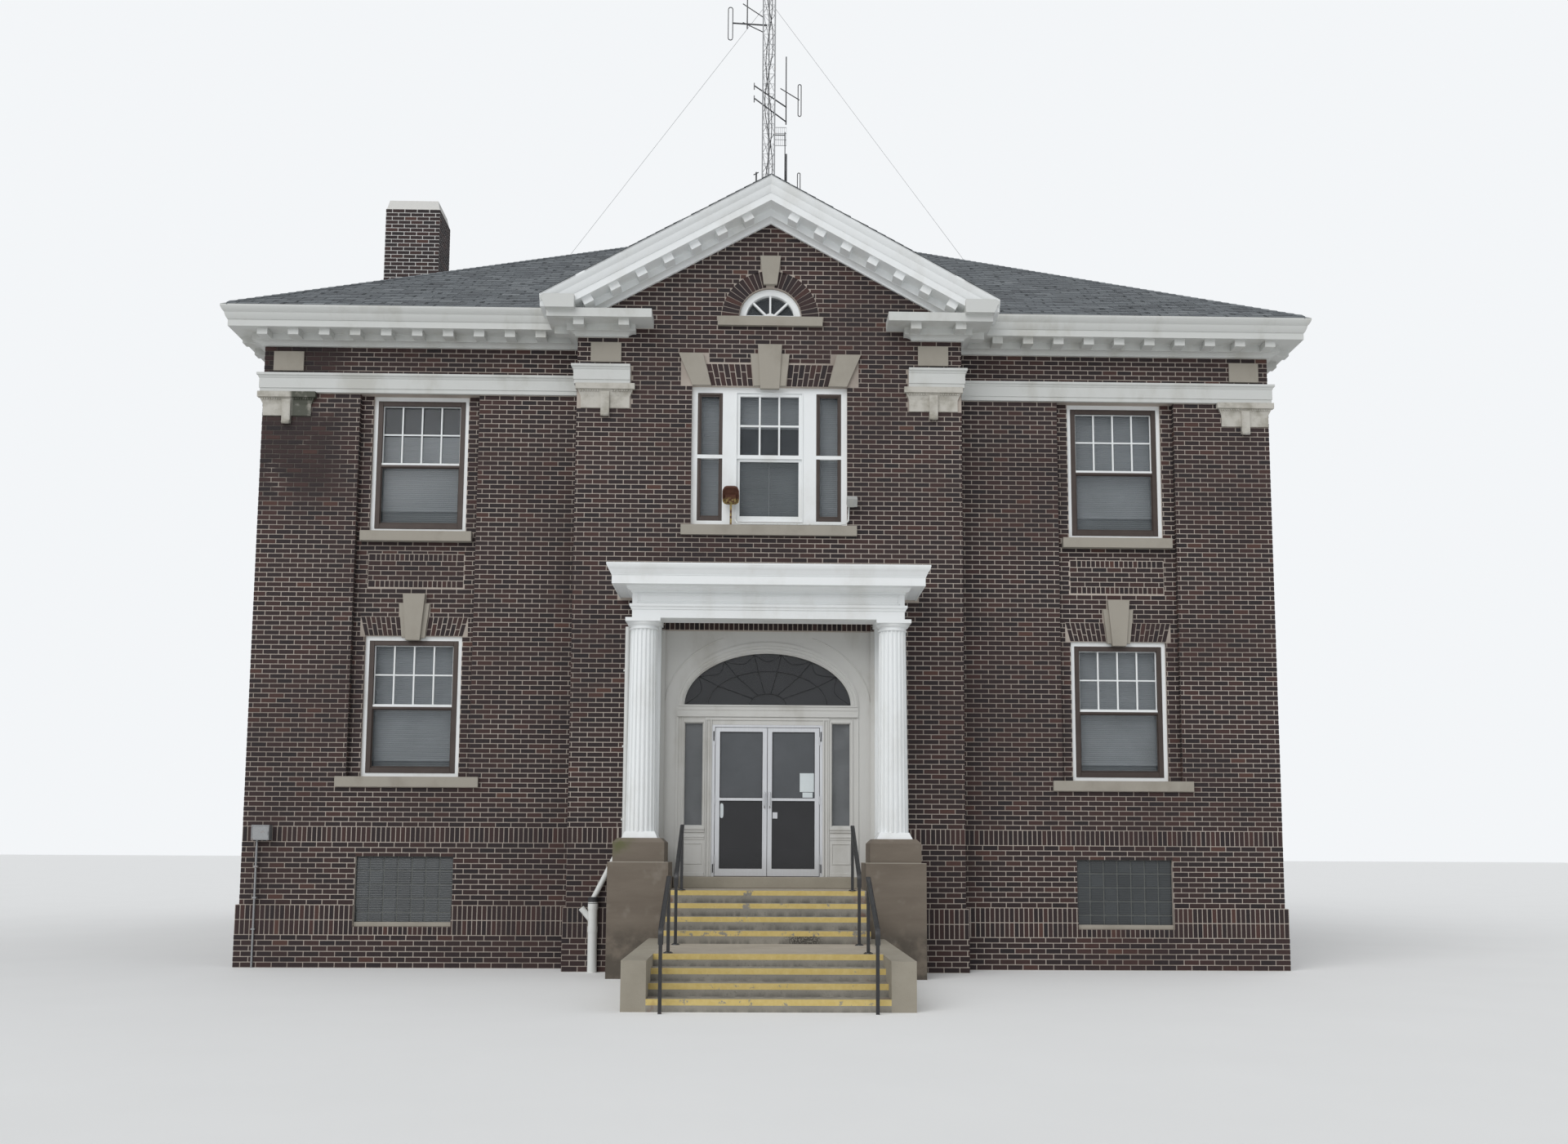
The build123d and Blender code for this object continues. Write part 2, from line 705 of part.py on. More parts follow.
# Windows
def sash_frame(width, height, posts=()):
    """A frame with a meeting rail and optional posts, standing on z = 0 with its face in the plane y = 0."""
    with BuildPart() as frame:
        with BuildSketch(Plane.XZ):
            with Locations((0, height / 2)):
                Rectangle(width, height)
                Rectangle(width - 2 * frame_face, height - 2 * frame_face, mode=Mode.SUBTRACT)
            for x in posts:
                with Locations((x, height / 2)):
                    Rectangle(center_post, height)
        extrude(amount=-frame_depth)
        with BuildSketch(Plane.XZ):
            with Locations((0, height / 2)):
                Rectangle(width - 2 * frame_face, meeting_rail)
        extrude(amount=-frame_depth / 2)
    return frame.part


def pane(width, height, bars=()):
    """Glass that fills a sash frame behind its meeting rail, in one sheet for each light."""
    with BuildPart() as glass:
        with BuildSketch(Plane.XZ.offset(-frame_depth / 2)):
            with Locations((0, height / 2)):
                Rectangle(width - 2 * frame_face, height - 2 * frame_face)
            for x in bars:
                with Locations((x, height / 2)):
                    Rectangle(center_post, height, mode=Mode.SUBTRACT)
        extrude(amount=-glass_thickness)
    return glass.part


window_set_back = panel_recess + 40
bay_set_back = 60
center_posts = (-center_post_x, center_post_x)
center_place = Location((0, bay_front + bay_set_back, upper_window_z))
window_levels = [Location((0, window_set_back, z)) for z in (lower_window_z, upper_window_z)]

with BuildPart() as window_frames:
    with Locations(*every_window):
        with Locations(*window_levels):
            add(sash_frame(window_width, window_height))
    with Locations(center_place):
        add(sash_frame(center_window_width, window_height, center_posts))
window_frames.part.label = "window_frames"

with BuildPart() as window_glass:
    with Locations(*every_window):
        with Locations(*window_levels):
            add(pane(window_width, window_height))
    with Locations(center_place):
        add(pane(center_window_width, window_height, center_posts))
    with BuildSketch(Plane.XZ.offset(bay_projection - bay_set_back - frame_depth / 2)):
        with Locations((0, lunette_sill_z)):
            Circle(lunette_glass_radius)
        with Locations((0, lunette_sill_z - lunette_radius / 2 + lunette_rail)):
            Rectangle(2 * lunette_radius, lunette_radius, mode=Mode.SUBTRACT)
    extrude(amount=-glass_thickness)
window_glass.part.label = "window_glass"

lunette_bars = 4
lunette_bar_width = 28
lunette_hub = 95

with BuildPart() as lunette_window:
    with BuildSketch(Plane.XZ.offset(bay_projection - bay_set_back)):
        with Locations((0, lunette_sill_z)):
            Circle(lunette_radius)
            Circle(lunette_glass_radius, mode=Mode.SUBTRACT)
        with Locations((0, lunette_sill_z + lunette_rail / 2)):
            Rectangle(2 * lunette_glass_radius + 20, lunette_rail)
        with Locations((0, lunette_sill_z - lunette_radius / 2)):
            Rectangle(2 * lunette_radius, lunette_radius, mode=Mode.SUBTRACT)
    extrude(amount=-frame_depth)
    with BuildSketch(Plane.XZ.offset(bay_projection - bay_set_back)):
        with Locations((0, lunette_sill_z)):
            Circle(lunette_hub)
            with PolarLocations(lunette_glass_radius / 2 + 10, lunette_bars + 1, start_angle=0,
                                angular_range=180, endpoint=True):
                Rectangle(lunette_glass_radius, lunette_bar_width)
        with Locations((0, lunette_sill_z - lunette_radius / 2 + lunette_rail)):
            Rectangle(2 * lunette_radius, lunette_radius, mode=Mode.SUBTRACT)
    extrude(amount=-frame_depth / 2)
lunette_window.part.label = "lunette_window"

block_set_back = 60
block_depth = 100

with BuildPart() as block_unit:
    block((-block_width / 2, block_width / 2), (block_set_back, block_set_back + block_depth),
          (basement_window_z, basement_window_z + block_height))
with BuildPart() as basement_glass_blocks:
    with Locations(*every_window):
        add(block_unit.part)
basement_glass_blocks.part.label = "basement_glass_blocks"

# Porch
column_foot_z = pedestal_top_z + column_base_height
column_head_z = entablature_z - column_cap_height
column_axis_y = bay_front - column_y
flutes = 20
column_neck = 100
plinth_width = 490
abacus_width = 485


def fluted(radius):
    """Section of a shaft with half-round flutes and fillets between them."""
    with BuildSketch() as section:
        Circle(radius)
        with PolarLocations(radius, flutes):
            Circle(radius * math.pi / flutes * 0.72, mode=Mode.SUBTRACT)
    return section.sketch


with BuildPart() as column_right:
    with BuildSketch(Plane((column_x, column_axis_y, column_foot_z))):
        add(fluted(column_radius))
    with BuildSketch(Plane((column_x, column_axis_y, column_head_z - column_neck))):
        add(fluted(column_top_radius))
    loft()
    with BuildSketch(Plane((column_x, column_axis_y, pedestal_top_z))):
        Rectangle(plinth_width, plinth_width)
    extrude(amount=column_base_height, taper=25)
    with BuildSketch(Plane((column_x, column_axis_y, 0), x_dir=(1, 0, 0), z_dir=(0, -1, 0))):
        with BuildLine():
            neck = column_head_z - column_neck
            low = Line((0, neck), (column_top_radius, neck))
            bead = ThreePointArc(low @ 1, (column_top_radius + 14, neck + 14), (column_top_radius, neck + 28))
            throat = Line(bead @ 1, (column_top_radius, neck + 50))
            echinus = ThreePointArc(throat @ 1, (column_top_radius + 34, neck + 72),
                                    (column_top_radius + 42, column_head_z))
            lid = Line(echinus @ 1, (0, column_head_z))
            Line(lid @ 1, (0, neck))
        make_face()
    revolve(axis=Axis((column_x, column_axis_y, 0), (0, 0, 1)))
    with BuildSketch(Plane((column_x, column_axis_y, column_head_z))):
        Rectangle(abacus_width, abacus_width)
    extrude(amount=column_cap_height)
column_right.part.label = "column_right"

with BuildPart() as column_left:
    mirror(column_right.part, about=Plane.YZ)
column_left.part.label = "column_left"

pedestal_wash = 60
pilaster_width = 400
pilaster_depth = 70

with BuildPart() as pedestal_right:
    with BuildSketch(Plane((column_x, column_axis_y, 0))):
        Rectangle(pedestal_width, pedestal_width)
    extrude(amount=pedestal_split_z)
    with BuildSketch(Plane((column_x, column_axis_y, pedestal_split_z))):
        Rectangle(pedestal_cap_width, pedestal_cap_width)
    extrude(amount=pedestal_top_z - pedestal_split_z)
    chamfer(faces().sort_by(Axis.Z)[-1].edges(), length=pedestal_wash)
    block((column_x - pilaster_width / 2, column_x + pilaster_width / 2), (column_axis_y, bay_front),
          (0, pedestal_top_z - pedestal_wash))
    block((column_x - pilaster_width / 2, column_x + pilaster_width / 2),
          (bay_front - pilaster_depth, bay_front), (0, pedestal_top_z))
pedestal_right.part.label = "pedestal_right"

with BuildPart() as pedestal_left:
    mirror(pedestal_right.part, about=Plane.YZ)
pedestal_left.part.label = "pedestal_left"

with BuildPart() as portico_pilasters:
    for side in (-1, 1):
        block((side * (column_x - pilaster_width / 2), side * (column_x + pilaster_width / 2)),
              (bay_front - pilaster_depth, bay_front), (pedestal_top_z, entablature_z))
portico_pilasters.part.label = "portico_pilasters"

frieze_z = 5120
bed_z = 5330
porch_corona_z = 5370
porch_crown_z = 5480
panel_edge = 70
panel_strip = 14
panel_proud = 8
cap_band_height = 65
cap_band_reach = 30

with BuildPart() as portico_entablature:
    front = bay_front - entablature_depth
    block((-entablature_half, entablature_half), (front, bay_front), (entablature_z, bed_z))
    beam = 2 * column_top_radius
    block((-entablature_half + beam, entablature_half - beam), (front + beam, bay_front),
          (entablature_z, frieze_z), Mode.SUBTRACT)
    block((-entablature_half - cap_band_reach, entablature_half + cap_band_reach),
          (front - cap_band_reach, bay_front), (frieze_z - cap_band_height, frieze_z))
    block((-entablature_half + beam, entablature_half - beam), (front + beam, bay_front),
          (entablature_z, frieze_z - 1), Mode.SUBTRACT)
    with BuildLine(Plane.XY.offset(bed_z)):
        Polyline((-entablature_half, bay_front, 0), (-entablature_half, front, 0),
                 (entablature_half, front, 0), (entablature_half, bay_front, 0))
    with BuildSketch(Plane(origin=(-entablature_half, bay_front, bed_z), x_dir=(-1, 0, 0), z_dir=(0, -1, 0))):
        with BuildLine():
            rise = porch_cornice_top_z - bed_z
            bed = Line((0, 0), (60, 0))
            cove = ThreePointArc(bed @ 1, (70, 28), (100, porch_corona_z - bed_z))
            soffit = Line(cove @ 1, (porch_overhang - 70, porch_corona_z - bed_z))
            corona = Line(soffit @ 1, (porch_overhang - 70, porch_crown_z - bed_z))
            convex = ThreePointArc(corona @ 1, (porch_overhang - 48, porch_crown_z - bed_z + 38),
                                   (porch_overhang - 35, porch_crown_z - bed_z + 65))
            concave = ThreePointArc(convex @ 1, (porch_overhang - 16, rise - 62), (porch_overhang, rise - 30))
            lip = Line(concave @ 1, (porch_overhang, rise))
            top = Line(lip @ 1, (0, rise))
            Line(top @ 1, (0, 0))
        make_face()
    sweep(transition=Transition.RIGHT)
    block((-entablature_half, entablature_half), (front, bay_front), (bed_z, porch_cornice_top_z))
    with BuildSketch(Plane.XZ.offset(-front)):
        with Locations((0, (frieze_z + bed_z) / 2)):
            Rectangle(2 * (entablature_half - panel_edge), bed_z - frieze_z - panel_edge)
            Rectangle(2 * (entablature_half - panel_edge - panel_strip),
                      bed_z - frieze_z - panel_edge - 2 * panel_strip, mode=Mode.SUBTRACT)
    extrude(amount=panel_proud)
portico_entablature.part.label = "portico_entablature"

# Entrance
surround_y = bay_front + 20
surround_thickness = 120
door_frame_depth = 100
door_half = leaf_gap / 2 + leaf_width + leaf_gap
frame_half = door_half + door_frame_face - leaf_gap
door_z = sill_z + leaf_gap
door_head_z = door_z + leaf_height + leaf_gap
frame_top_z = door_head_z + 34
sidelight_low = 920
sidelight_z = 2060
sidelight_top_z = 3560
archivolt_reach = 110
archivolt_rise = 160
archivolt_gap = 20
archivolt_proud = 20

with BuildPart() as entrance_surround:
    with BuildSketch(Plane.XZ.offset(-surround_y)):
        with Locations((0, (sill_z + surround_top_z) / 2)):
            Rectangle(2 * surround_half, surround_top_z - sill_z)
        with Locations((0, (sill_z + frame_top_z) / 2)):
            Rectangle(2 * frame_half, frame_top_z - sill_z, mode=Mode.SUBTRACT)
        for side in (-1, 1):
            with Locations((side * (sidelight_low + arch_half) / 2, (sidelight_z + sidelight_top_z) / 2)):
                Rectangle(arch_half - sidelight_low, sidelight_top_z - sidelight_z, mode=Mode.SUBTRACT)
        with BuildLine():
            Line((-arch_half, spring_z), (arch_half, spring_z))
            EllipticalCenterArc((0, spring_z), arch_half, arch_top_z - spring_z, start_angle=0, arc_size=180)
        make_face(mode=Mode.SUBTRACT)
    extrude(amount=-surround_thickness)
    with BuildSketch(Plane.XZ.offset(-surround_y)):
        with BuildLine():
            Line((-arch_half - archivolt_reach, spring_z), (arch_half + archivolt_reach, spring_z))
            EllipticalCenterArc((0, spring_z), arch_half + archivolt_reach,
                                arch_top_z - spring_z + archivolt_rise, start_angle=0, arc_size=180)
        make_face()
        with BuildLine():
            Line((-arch_half - archivolt_gap, spring_z), (arch_half + archivolt_gap, spring_z))
            EllipticalCenterArc((0, spring_z), arch_half + archivolt_gap,
                                arch_top_z - spring_z + archivolt_gap, start_angle=0, arc_size=180)
        make_face(mode=Mode.SUBTRACT)
    extrude(amount=archivolt_proud)
    block((-arch_half - archivolt_reach, arch_half + archivolt_reach),
          (surround_y - archivolt_proud, surround_y), (spring_z - transom_height, spring_z))
entrance_surround.part.label = "entrance_surround"

glass_y = surround_y + 50

with BuildPart() as entrance_glass:
    with BuildSketch(Plane.XZ.offset(-glass_y)):
        for side in (-1, 1):
            with Locations((side * (sidelight_low + arch_half) / 2, (sidelight_z + sidelight_top_z) / 2)):
                Rectangle(arch_half - sidelight_low, sidelight_top_z - sidelight_z)
        with BuildLine():
            Line((-arch_half, spring_z), (arch_half, spring_z))
            EllipticalCenterArc((0, spring_z), arch_half, arch_top_z - spring_z, start_angle=0, arc_size=180)
        make_face()
    extrude(amount=-glass_thickness)
entrance_glass.part.label = "entrance_glass"

leaf_y = surround_y + 5
hinge_x = leaf_gap / 2 + leaf_width + leaf_gap / 2
hinge_y = leaf_y - 10
knuckle_radius = 8
knuckle_height = 40
knuckle_gap = 0.3
hinge_plate = 4
hinge_plate_width = 30
hinge_levels = [door_z + leaf_height * share for share in (0.1, 0.5, 0.9)]


def knuckle(bottom, side):
    """A hinge knuckle on its plate, on the right doorway jamb, reaching to one side of the pin."""
    with BuildPart() as piece:
        with BuildSketch(Plane((hinge_x, hinge_y, bottom))):
            Circle(knuckle_radius)
        extrude(amount=knuckle_height)
        block((hinge_x, hinge_x + side * hinge_plate_width), (leaf_y - hinge_plate, leaf_y),
              (bottom, bottom + knuckle_height))
    return piece.part


with BuildPart() as door_frame:
    with BuildSketch(Plane.XZ.offset(-leaf_y)):
        with Locations((0, (sill_z + frame_top_z) / 2)):
            Rectangle(2 * frame_half, frame_top_z - sill_z)
        with Locations((0, (sill_z + door_head_z) / 2)):
            Rectangle(2 * door_half, door_head_z - sill_z, mode=Mode.SUBTRACT)
    extrude(amount=-door_frame_depth)
    for z in hinge_levels:
        add(knuckle(z - knuckle_height - knuckle_gap, 1))
        add(knuckle(z + knuckle_height + knuckle_gap, 1))
    mirror(about=Plane.YZ)
door_frame.part.label = "door_frame"

stile = 66
top_rail = 60
bottom_rail = 105
bar_z = sill_z + 1083
bar_height = 42
handle_z = sill_z + 990
handle_length = 215
handle_reach = 50
handle_radius = 10
handle_bend = 25
glazing_set_back = 16
glazing = 12

with BuildPart() as door_right:
    leaf_low = leaf_gap / 2
    leaf_mid = leaf_low + leaf_width / 2
    with BuildSketch(Plane.XZ.offset(-leaf_y)):
        with Locations((leaf_mid, door_z + leaf_height / 2)):
            Rectangle(leaf_width, leaf_height)
        with Locations((leaf_mid, door_z + (bottom_rail + leaf_height - top_rail) / 2)):
            Rectangle(leaf_width - 2 * stile, leaf_height - top_rail - bottom_rail, mode=Mode.SUBTRACT)
        with Locations((leaf_mid, bar_z + bar_height / 2)):
            Rectangle(leaf_width - stile, bar_height)
    extrude(amount=-leaf_thickness)
    with BuildLine(Plane.YZ.offset(leaf_low + stile / 2)):
        FilletPolyline((leaf_y, handle_z), (leaf_y - handle_reach, handle_z),
                       (leaf_y - handle_reach, handle_z + handle_length), (leaf_y, handle_z + handle_length),
                       radius=handle_bend)
    with BuildSketch(Plane.XZ.offset(-leaf_y)):
        with Locations((leaf_low + stile / 2, handle_z)):
            Circle(handle_radius)
    sweep()
    for z in hinge_levels:
        add(knuckle(z, -1))
door_right.part.label = "door_right"

with BuildPart() as door_left:
    mirror(door_right.part, about=Plane.YZ)
door_left.part.label = "door_left"

with BuildPart() as door_glass_right:
    with BuildSketch(Plane.XZ.offset(-leaf_y - glazing_set_back)):
        with Locations((leaf_mid, door_z + (bottom_rail + leaf_height - top_rail) / 2)):
            Rectangle(leaf_width - 2 * stile, leaf_height - top_rail - bottom_rail)
        with Locations((leaf_mid, bar_z + bar_height / 2)):
            Rectangle(leaf_width, bar_height, mode=Mode.SUBTRACT)
    extrude(amount=-glazing)
door_glass_right.part.label = "door_glass_right"

with BuildPart() as door_glass_left:
    mirror(door_glass_right.part, about=Plane.YZ)
door_glass_left.part.label = "door_glass_left"

# Steps
with BuildPart() as upper_steps:
    with BuildSketch(Plane.YZ.offset(-step_half)):
        with BuildLine():
            points = [(bay_front, 0), (bay_front, porch_z), (porch_nosing_y, porch_z)]
            for i in range(1, upper_risers):
                points.append((porch_nosing_y - (i - 1) * tread, porch_z - i * upper_riser))
                points.append((porch_nosing_y - i * tread, porch_z - i * upper_riser))
            points.append((foot_y, 0))
            Polyline(*points, close=True)
        make_face()
    extrude(amount=2 * step_half)
    for side in (-1, 1):
        block((side * step_half, side * pedestal_inner), (column_axis_y - pedestal_width / 2, bay_front),
              (0, porch_z))
upper_steps.part.label = "upper_steps"

with BuildPart() as lower_steps:
    with BuildSketch(Plane.YZ.offset(-step_half)):
        with BuildLine():
            points = [(foot_y, 0), (foot_y, landing_z), (landing_edge_y, landing_z)]
            for i in range(1, lower_risers):
                points.append((landing_edge_y - (i - 1) * tread, landing_z - i * lower_riser))
                points.append((landing_edge_y - i * tread, landing_z - i * lower_riser))
            points.append((walk_y, 0))
            Polyline(*points, close=True)
        make_face()
    extrude(amount=2 * step_half)
lower_steps.part.label = "lower_steps"

with BuildPart() as step_cheeks:
    for side in (-1, 1):
        block((side * step_half, side * (step_half + cheek_width)),
              (walk_y, column_axis_y - pedestal_width / 2), (0, landing_z))
step_cheeks.part.label = "step_cheeks"


def rail_frame(y_high, z_high, y_low, z_low):
    """Two posts under a sloping handrail that turns down over the lower post."""
    with BuildPart() as rail:
        block((-post_half, post_half), (y_high - post_half, y_high + post_half),
              (z_high, z_high + rail_height))
        block((-post_half, post_half), (y_low - post_half, y_low + post_half),
              (z_low, z_low + rail_height - rail_bend))
        with BuildLine(Plane.YZ):
            path = FilletPolyline((y_high, z_high + rail_height), (y_low, z_low + rail_height),
                                  (y_low, z_low + rail_height - 2 * rail_bend), radius=rail_bend)
        with BuildSketch(Plane(origin=(0, y_high, z_high + rail_height), x_dir=(1, 0, 0), z_dir=(path % 0))):
            RectangleRounded(rail_width, rail_depth, rail_round)
        sweep()
    return rail.part


with BuildPart() as handrails:
    for side in (-1, 1):
        with Locations((side * rail_x, 0, 0)):
            add(rail_frame(porch_nosing_y + 40, porch_z, foot_y - 200, landing_z))
            add(rail_frame(landing_edge_y + 100, landing_z, walk_y - 150, 0))
handrails.part.label = "handrails"

# Roof furniture and pipes
chimney_base_z = attic_z
chimney_cap = 180
chimney_cap_inset = 10

with BuildPart() as chimney:
    block((chimney_x - chimney_width / 2, chimney_x + chimney_width / 2),
          (chimney_y, chimney_y + chimney_length), (chimney_base_z, chimney_top_z - chimney_cap))
    with BuildSketch(Plane((chimney_x, chimney_y + chimney_length / 2, chimney_top_z - chimney_cap))):
        Rectangle(chimney_width - 2 * chimney_cap_inset, chimney_length - 2 * chimney_cap_inset)
    extrude(amount=chimney_cap, taper=12)
chimney.part.label = "chimney"

mast_side = 270
mast_leg = 16
mast_brace = 6
guy_radius = 6
mast_foot_z = ridge_z - mast_side
bay_count = 14
mast_bay = (mast_top_z - mast_foot_z) / bay_count


def rod(start, end, radius, sides=6):
    """A thin straight bar between two points."""
    direction = Vector(*end) - Vector(*start)
    with BuildPart() as bar:
        with BuildSketch(Plane(origin=start, z_dir=direction)):
            RegularPolygon(radius, sides)
        extrude(amount=direction.length)
    return bar.part


with BuildPart() as antenna_mast:
    corners = [(mast_side / math.sqrt(3) * math.cos(math.radians(a)),
                mast_y + mast_side / math.sqrt(3) * math.sin(math.radians(a))) for a in (90, 210, 330)]
    for x, y in corners:
        add(rod((x, y, mast_foot_z), (x, y, mast_top_z), mast_leg))
    for i in range(bay_count):
        low = mast_foot_z + i * mast_bay
        for j in range(3):
            a = corners[j]
            b = corners[(j + 1) % 3]
            add(rod((*a, low + mast_bay * 0.02), (*b, low + mast_bay), mast_brace, 4))
    add(hip_outer, mode=Mode.SUBTRACT)
antenna_mast.part.label = "antenna_mast"

with BuildPart() as guy_wires:
    eave_z = cornice_top_z + roof_pitch * guy_inset / 2
    anchors = [(-eave_half + guy_inset, mast_y, eave_z), (eave_half - guy_inset, mast_y, eave_z),
               (0, guy_front_y, apex_z - roof_board / 2), (0, back_y + overhang - guy_inset, eave_z)]
    for x, y, z in anchors:
        add(rod((0, mast_y, guy_z), (x, y, z), guy_radius, 4))
    with BuildSketch(Plane.XY.offset(mast_foot_z)):
        Polygon(*corners, align=None)
    extrude(amount=mast_top_z - mast_foot_z, mode=Mode.SUBTRACT)
    add(hip_outer, mode=Mode.SUBTRACT)
    add(gable_roof.part, mode=Mode.SUBTRACT)
    add(antenna_mast.part, mode=Mode.SUBTRACT)
guy_wires.part.label = "guy_wires"

downspout_x = 820 - bay_half
downspout_radius = 38
drain_x = downspout_x - 420
drain_radius = 66
drain_top_z = 1030
branch_z = 700
branch_reach = 165
branch_radius = 44
branch_sides = 16

with BuildPart() as downspout:
    pipe_y = bay_front - downspout_radius - 5
    with BuildLine():
        FilletPolyline((downspout_x, pipe_y, entablature_z), (downspout_x, pipe_y, pedestal_top_z),
                       (drain_x, pipe_y - base_step, drain_top_z), radius=60)
    with BuildSketch(Plane((downspout_x, pipe_y, entablature_z))):
        Circle(downspout_radius)
    sweep()
    drain_y = bay_front - base_step - drain_radius
    with BuildSketch(Plane((drain_x, drain_y, 0))):
        Circle(drain_radius)
    extrude(amount=drain_top_z)
    add(rod((drain_x, drain_y, branch_z), (drain_x - branch_reach, drain_y, branch_z + 1.2 * branch_reach),
            branch_radius, branch_sides))
downspout.part.label = "downspout"

utility_x = 300 - wing_half
utility_half = 130
utility_depth = 120
utility_height = 220
utility_z = 1830
conduit_x = utility_x - utility_half / 2
conduit_radius = 15

with BuildPart() as utility_box:
    block((utility_x - utility_half, utility_x + utility_half), (-utility_depth, 0),
          (utility_z, utility_z + utility_height))
    with BuildSketch(Plane((conduit_x, -base_step - conduit_radius, 0))):
        Circle(conduit_radius)
    extrude(amount=utility_z)
utility_box.part.label = "utility_box"

lamp_width = 150
lamp_height = 120
lamp_length = 120
lamp_aim = (0, -0.8, -0.6)
lamp_arm = 15
left_lamp_x = -560
left_lamp_z = upper_window_z + 440
right_lamp_x = 1210
right_lamp_z = upper_window_z + 370

with BuildPart() as floodlights:
    block((left_lamp_x - lamp_arm, left_lamp_x + lamp_arm),
          (bay_front - 3 * lamp_arm, bay_front - lamp_arm), (upper_window_z, left_lamp_z))
    block((right_lamp_x - lamp_arm, right_lamp_x + lamp_arm), (bay_front - 130, bay_front),
          (right_lamp_z - lamp_arm, right_lamp_z + lamp_arm))
    lamps = [(left_lamp_x, bay_front - 20, left_lamp_z), (right_lamp_x, bay_front - 110, right_lamp_z)]
    for place in lamps:
        with BuildSketch(Plane(origin=place, x_dir=(1, 0, 0), z_dir=lamp_aim)):
            Rectangle(lamp_width, lamp_height)
        extrude(amount=lamp_length)
floodlights.part.label = "floodlights"

NODES = [wing_wall_left, wing_wall_right, side_wall_left, side_wall_right, back_wall, bay_wall_left,
         bay_wall_right, bay_wall_upper, basement_floor, main_floor, entrance_floor, upper_floor, attic_floor,
         roof_front, roof_back, roof_left, roof_right, gable_roof, pediment_rakes, cornice_front,
         cornice_returns, cornice_sides, cornice_back, window_sills, keystones, frieze_tablets,
         architrave_band, pier_capitals, window_frames, window_glass, lunette_window,
         basement_glass_blocks, column_left, column_right, pedestal_left, pedestal_right,
         portico_pilasters, portico_entablature, entrance_surround,
         entrance_glass, door_frame, door_left, door_right, door_glass_left, door_glass_right, upper_steps,
         lower_steps, step_cheeks, handrails, chimney, antenna_mast, guy_wires, downspout, utility_box,
         floodlights]

os.makedirs("parts", exist_ok=True)
for node in NODES:
    export_step(node.part, f"parts/{node.part.label}.step")
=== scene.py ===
"""The town hall, dressed: brickwork, shingles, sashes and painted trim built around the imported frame."""

import bmesh
import bpy
import numpy as np
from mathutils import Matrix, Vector


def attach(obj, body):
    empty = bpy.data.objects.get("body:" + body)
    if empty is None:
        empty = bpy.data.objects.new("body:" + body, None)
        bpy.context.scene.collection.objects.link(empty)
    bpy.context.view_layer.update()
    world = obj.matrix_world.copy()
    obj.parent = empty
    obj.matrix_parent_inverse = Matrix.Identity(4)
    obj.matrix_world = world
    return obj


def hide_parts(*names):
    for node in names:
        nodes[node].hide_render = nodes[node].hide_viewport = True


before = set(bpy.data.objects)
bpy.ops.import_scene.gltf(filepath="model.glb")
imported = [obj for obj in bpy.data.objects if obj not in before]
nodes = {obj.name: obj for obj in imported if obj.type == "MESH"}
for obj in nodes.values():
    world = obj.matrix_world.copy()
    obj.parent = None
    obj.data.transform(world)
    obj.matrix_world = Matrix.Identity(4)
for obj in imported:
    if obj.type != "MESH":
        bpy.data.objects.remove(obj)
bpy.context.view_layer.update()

# Studio: a pale floor at the foot of the steps, a soft key light from the left front and a pale sky.
# The camera stands on the walk a little left of the door and looks slightly up, its lens shifted upwards.
picture_width, focal_length, shift_right, shift_up = 1920, 1549, 1.4, 188.7
sensor = 36
scene = bpy.context.scene
scene.view_settings.view_transform = "Standard"
camera_data = bpy.data.cameras.new("view_camera")
camera_data.lens = focal_length / picture_width * sensor
camera_data.sensor_width = sensor
camera_data.shift_x = shift_right / picture_width
camera_data.shift_y = shift_up / picture_width
camera_data.clip_end = 500
camera = bpy.data.objects.new("view_camera", camera_data)
camera.location = (-0.130, -18.684, 1.702)
camera.rotation_euler = (np.pi / 2 + 0.099, -0.0052, -0.0198)
scene.collection.objects.link(camera)
scene.camera = camera

for name, strength, aim, size in (("key_sun", 1.45, (0.5, 0.85, -0.75), 0.9),
                                  ("fill_sun", 0.38, (-0.8, -0.3, -0.6), 1.2)):
    light_data = bpy.data.lights.new(name, "SUN")
    light_data.energy = strength
    light_data.angle = size
    light = bpy.data.objects.new(name, light_data)
    light.rotation_euler = Vector(aim).to_track_quat("-Z", "Y").to_euler()
    scene.collection.objects.link(light)


def operator(operation, swapped=False):
    """A method that joins a value and another by one Math node, the other first if swapped."""
    def method(self, other):
        pair = (other, self) if swapped else (self, other)
        return self.node("ShaderNodeMath", dict(enumerate(pair)), operation=operation)
    return method


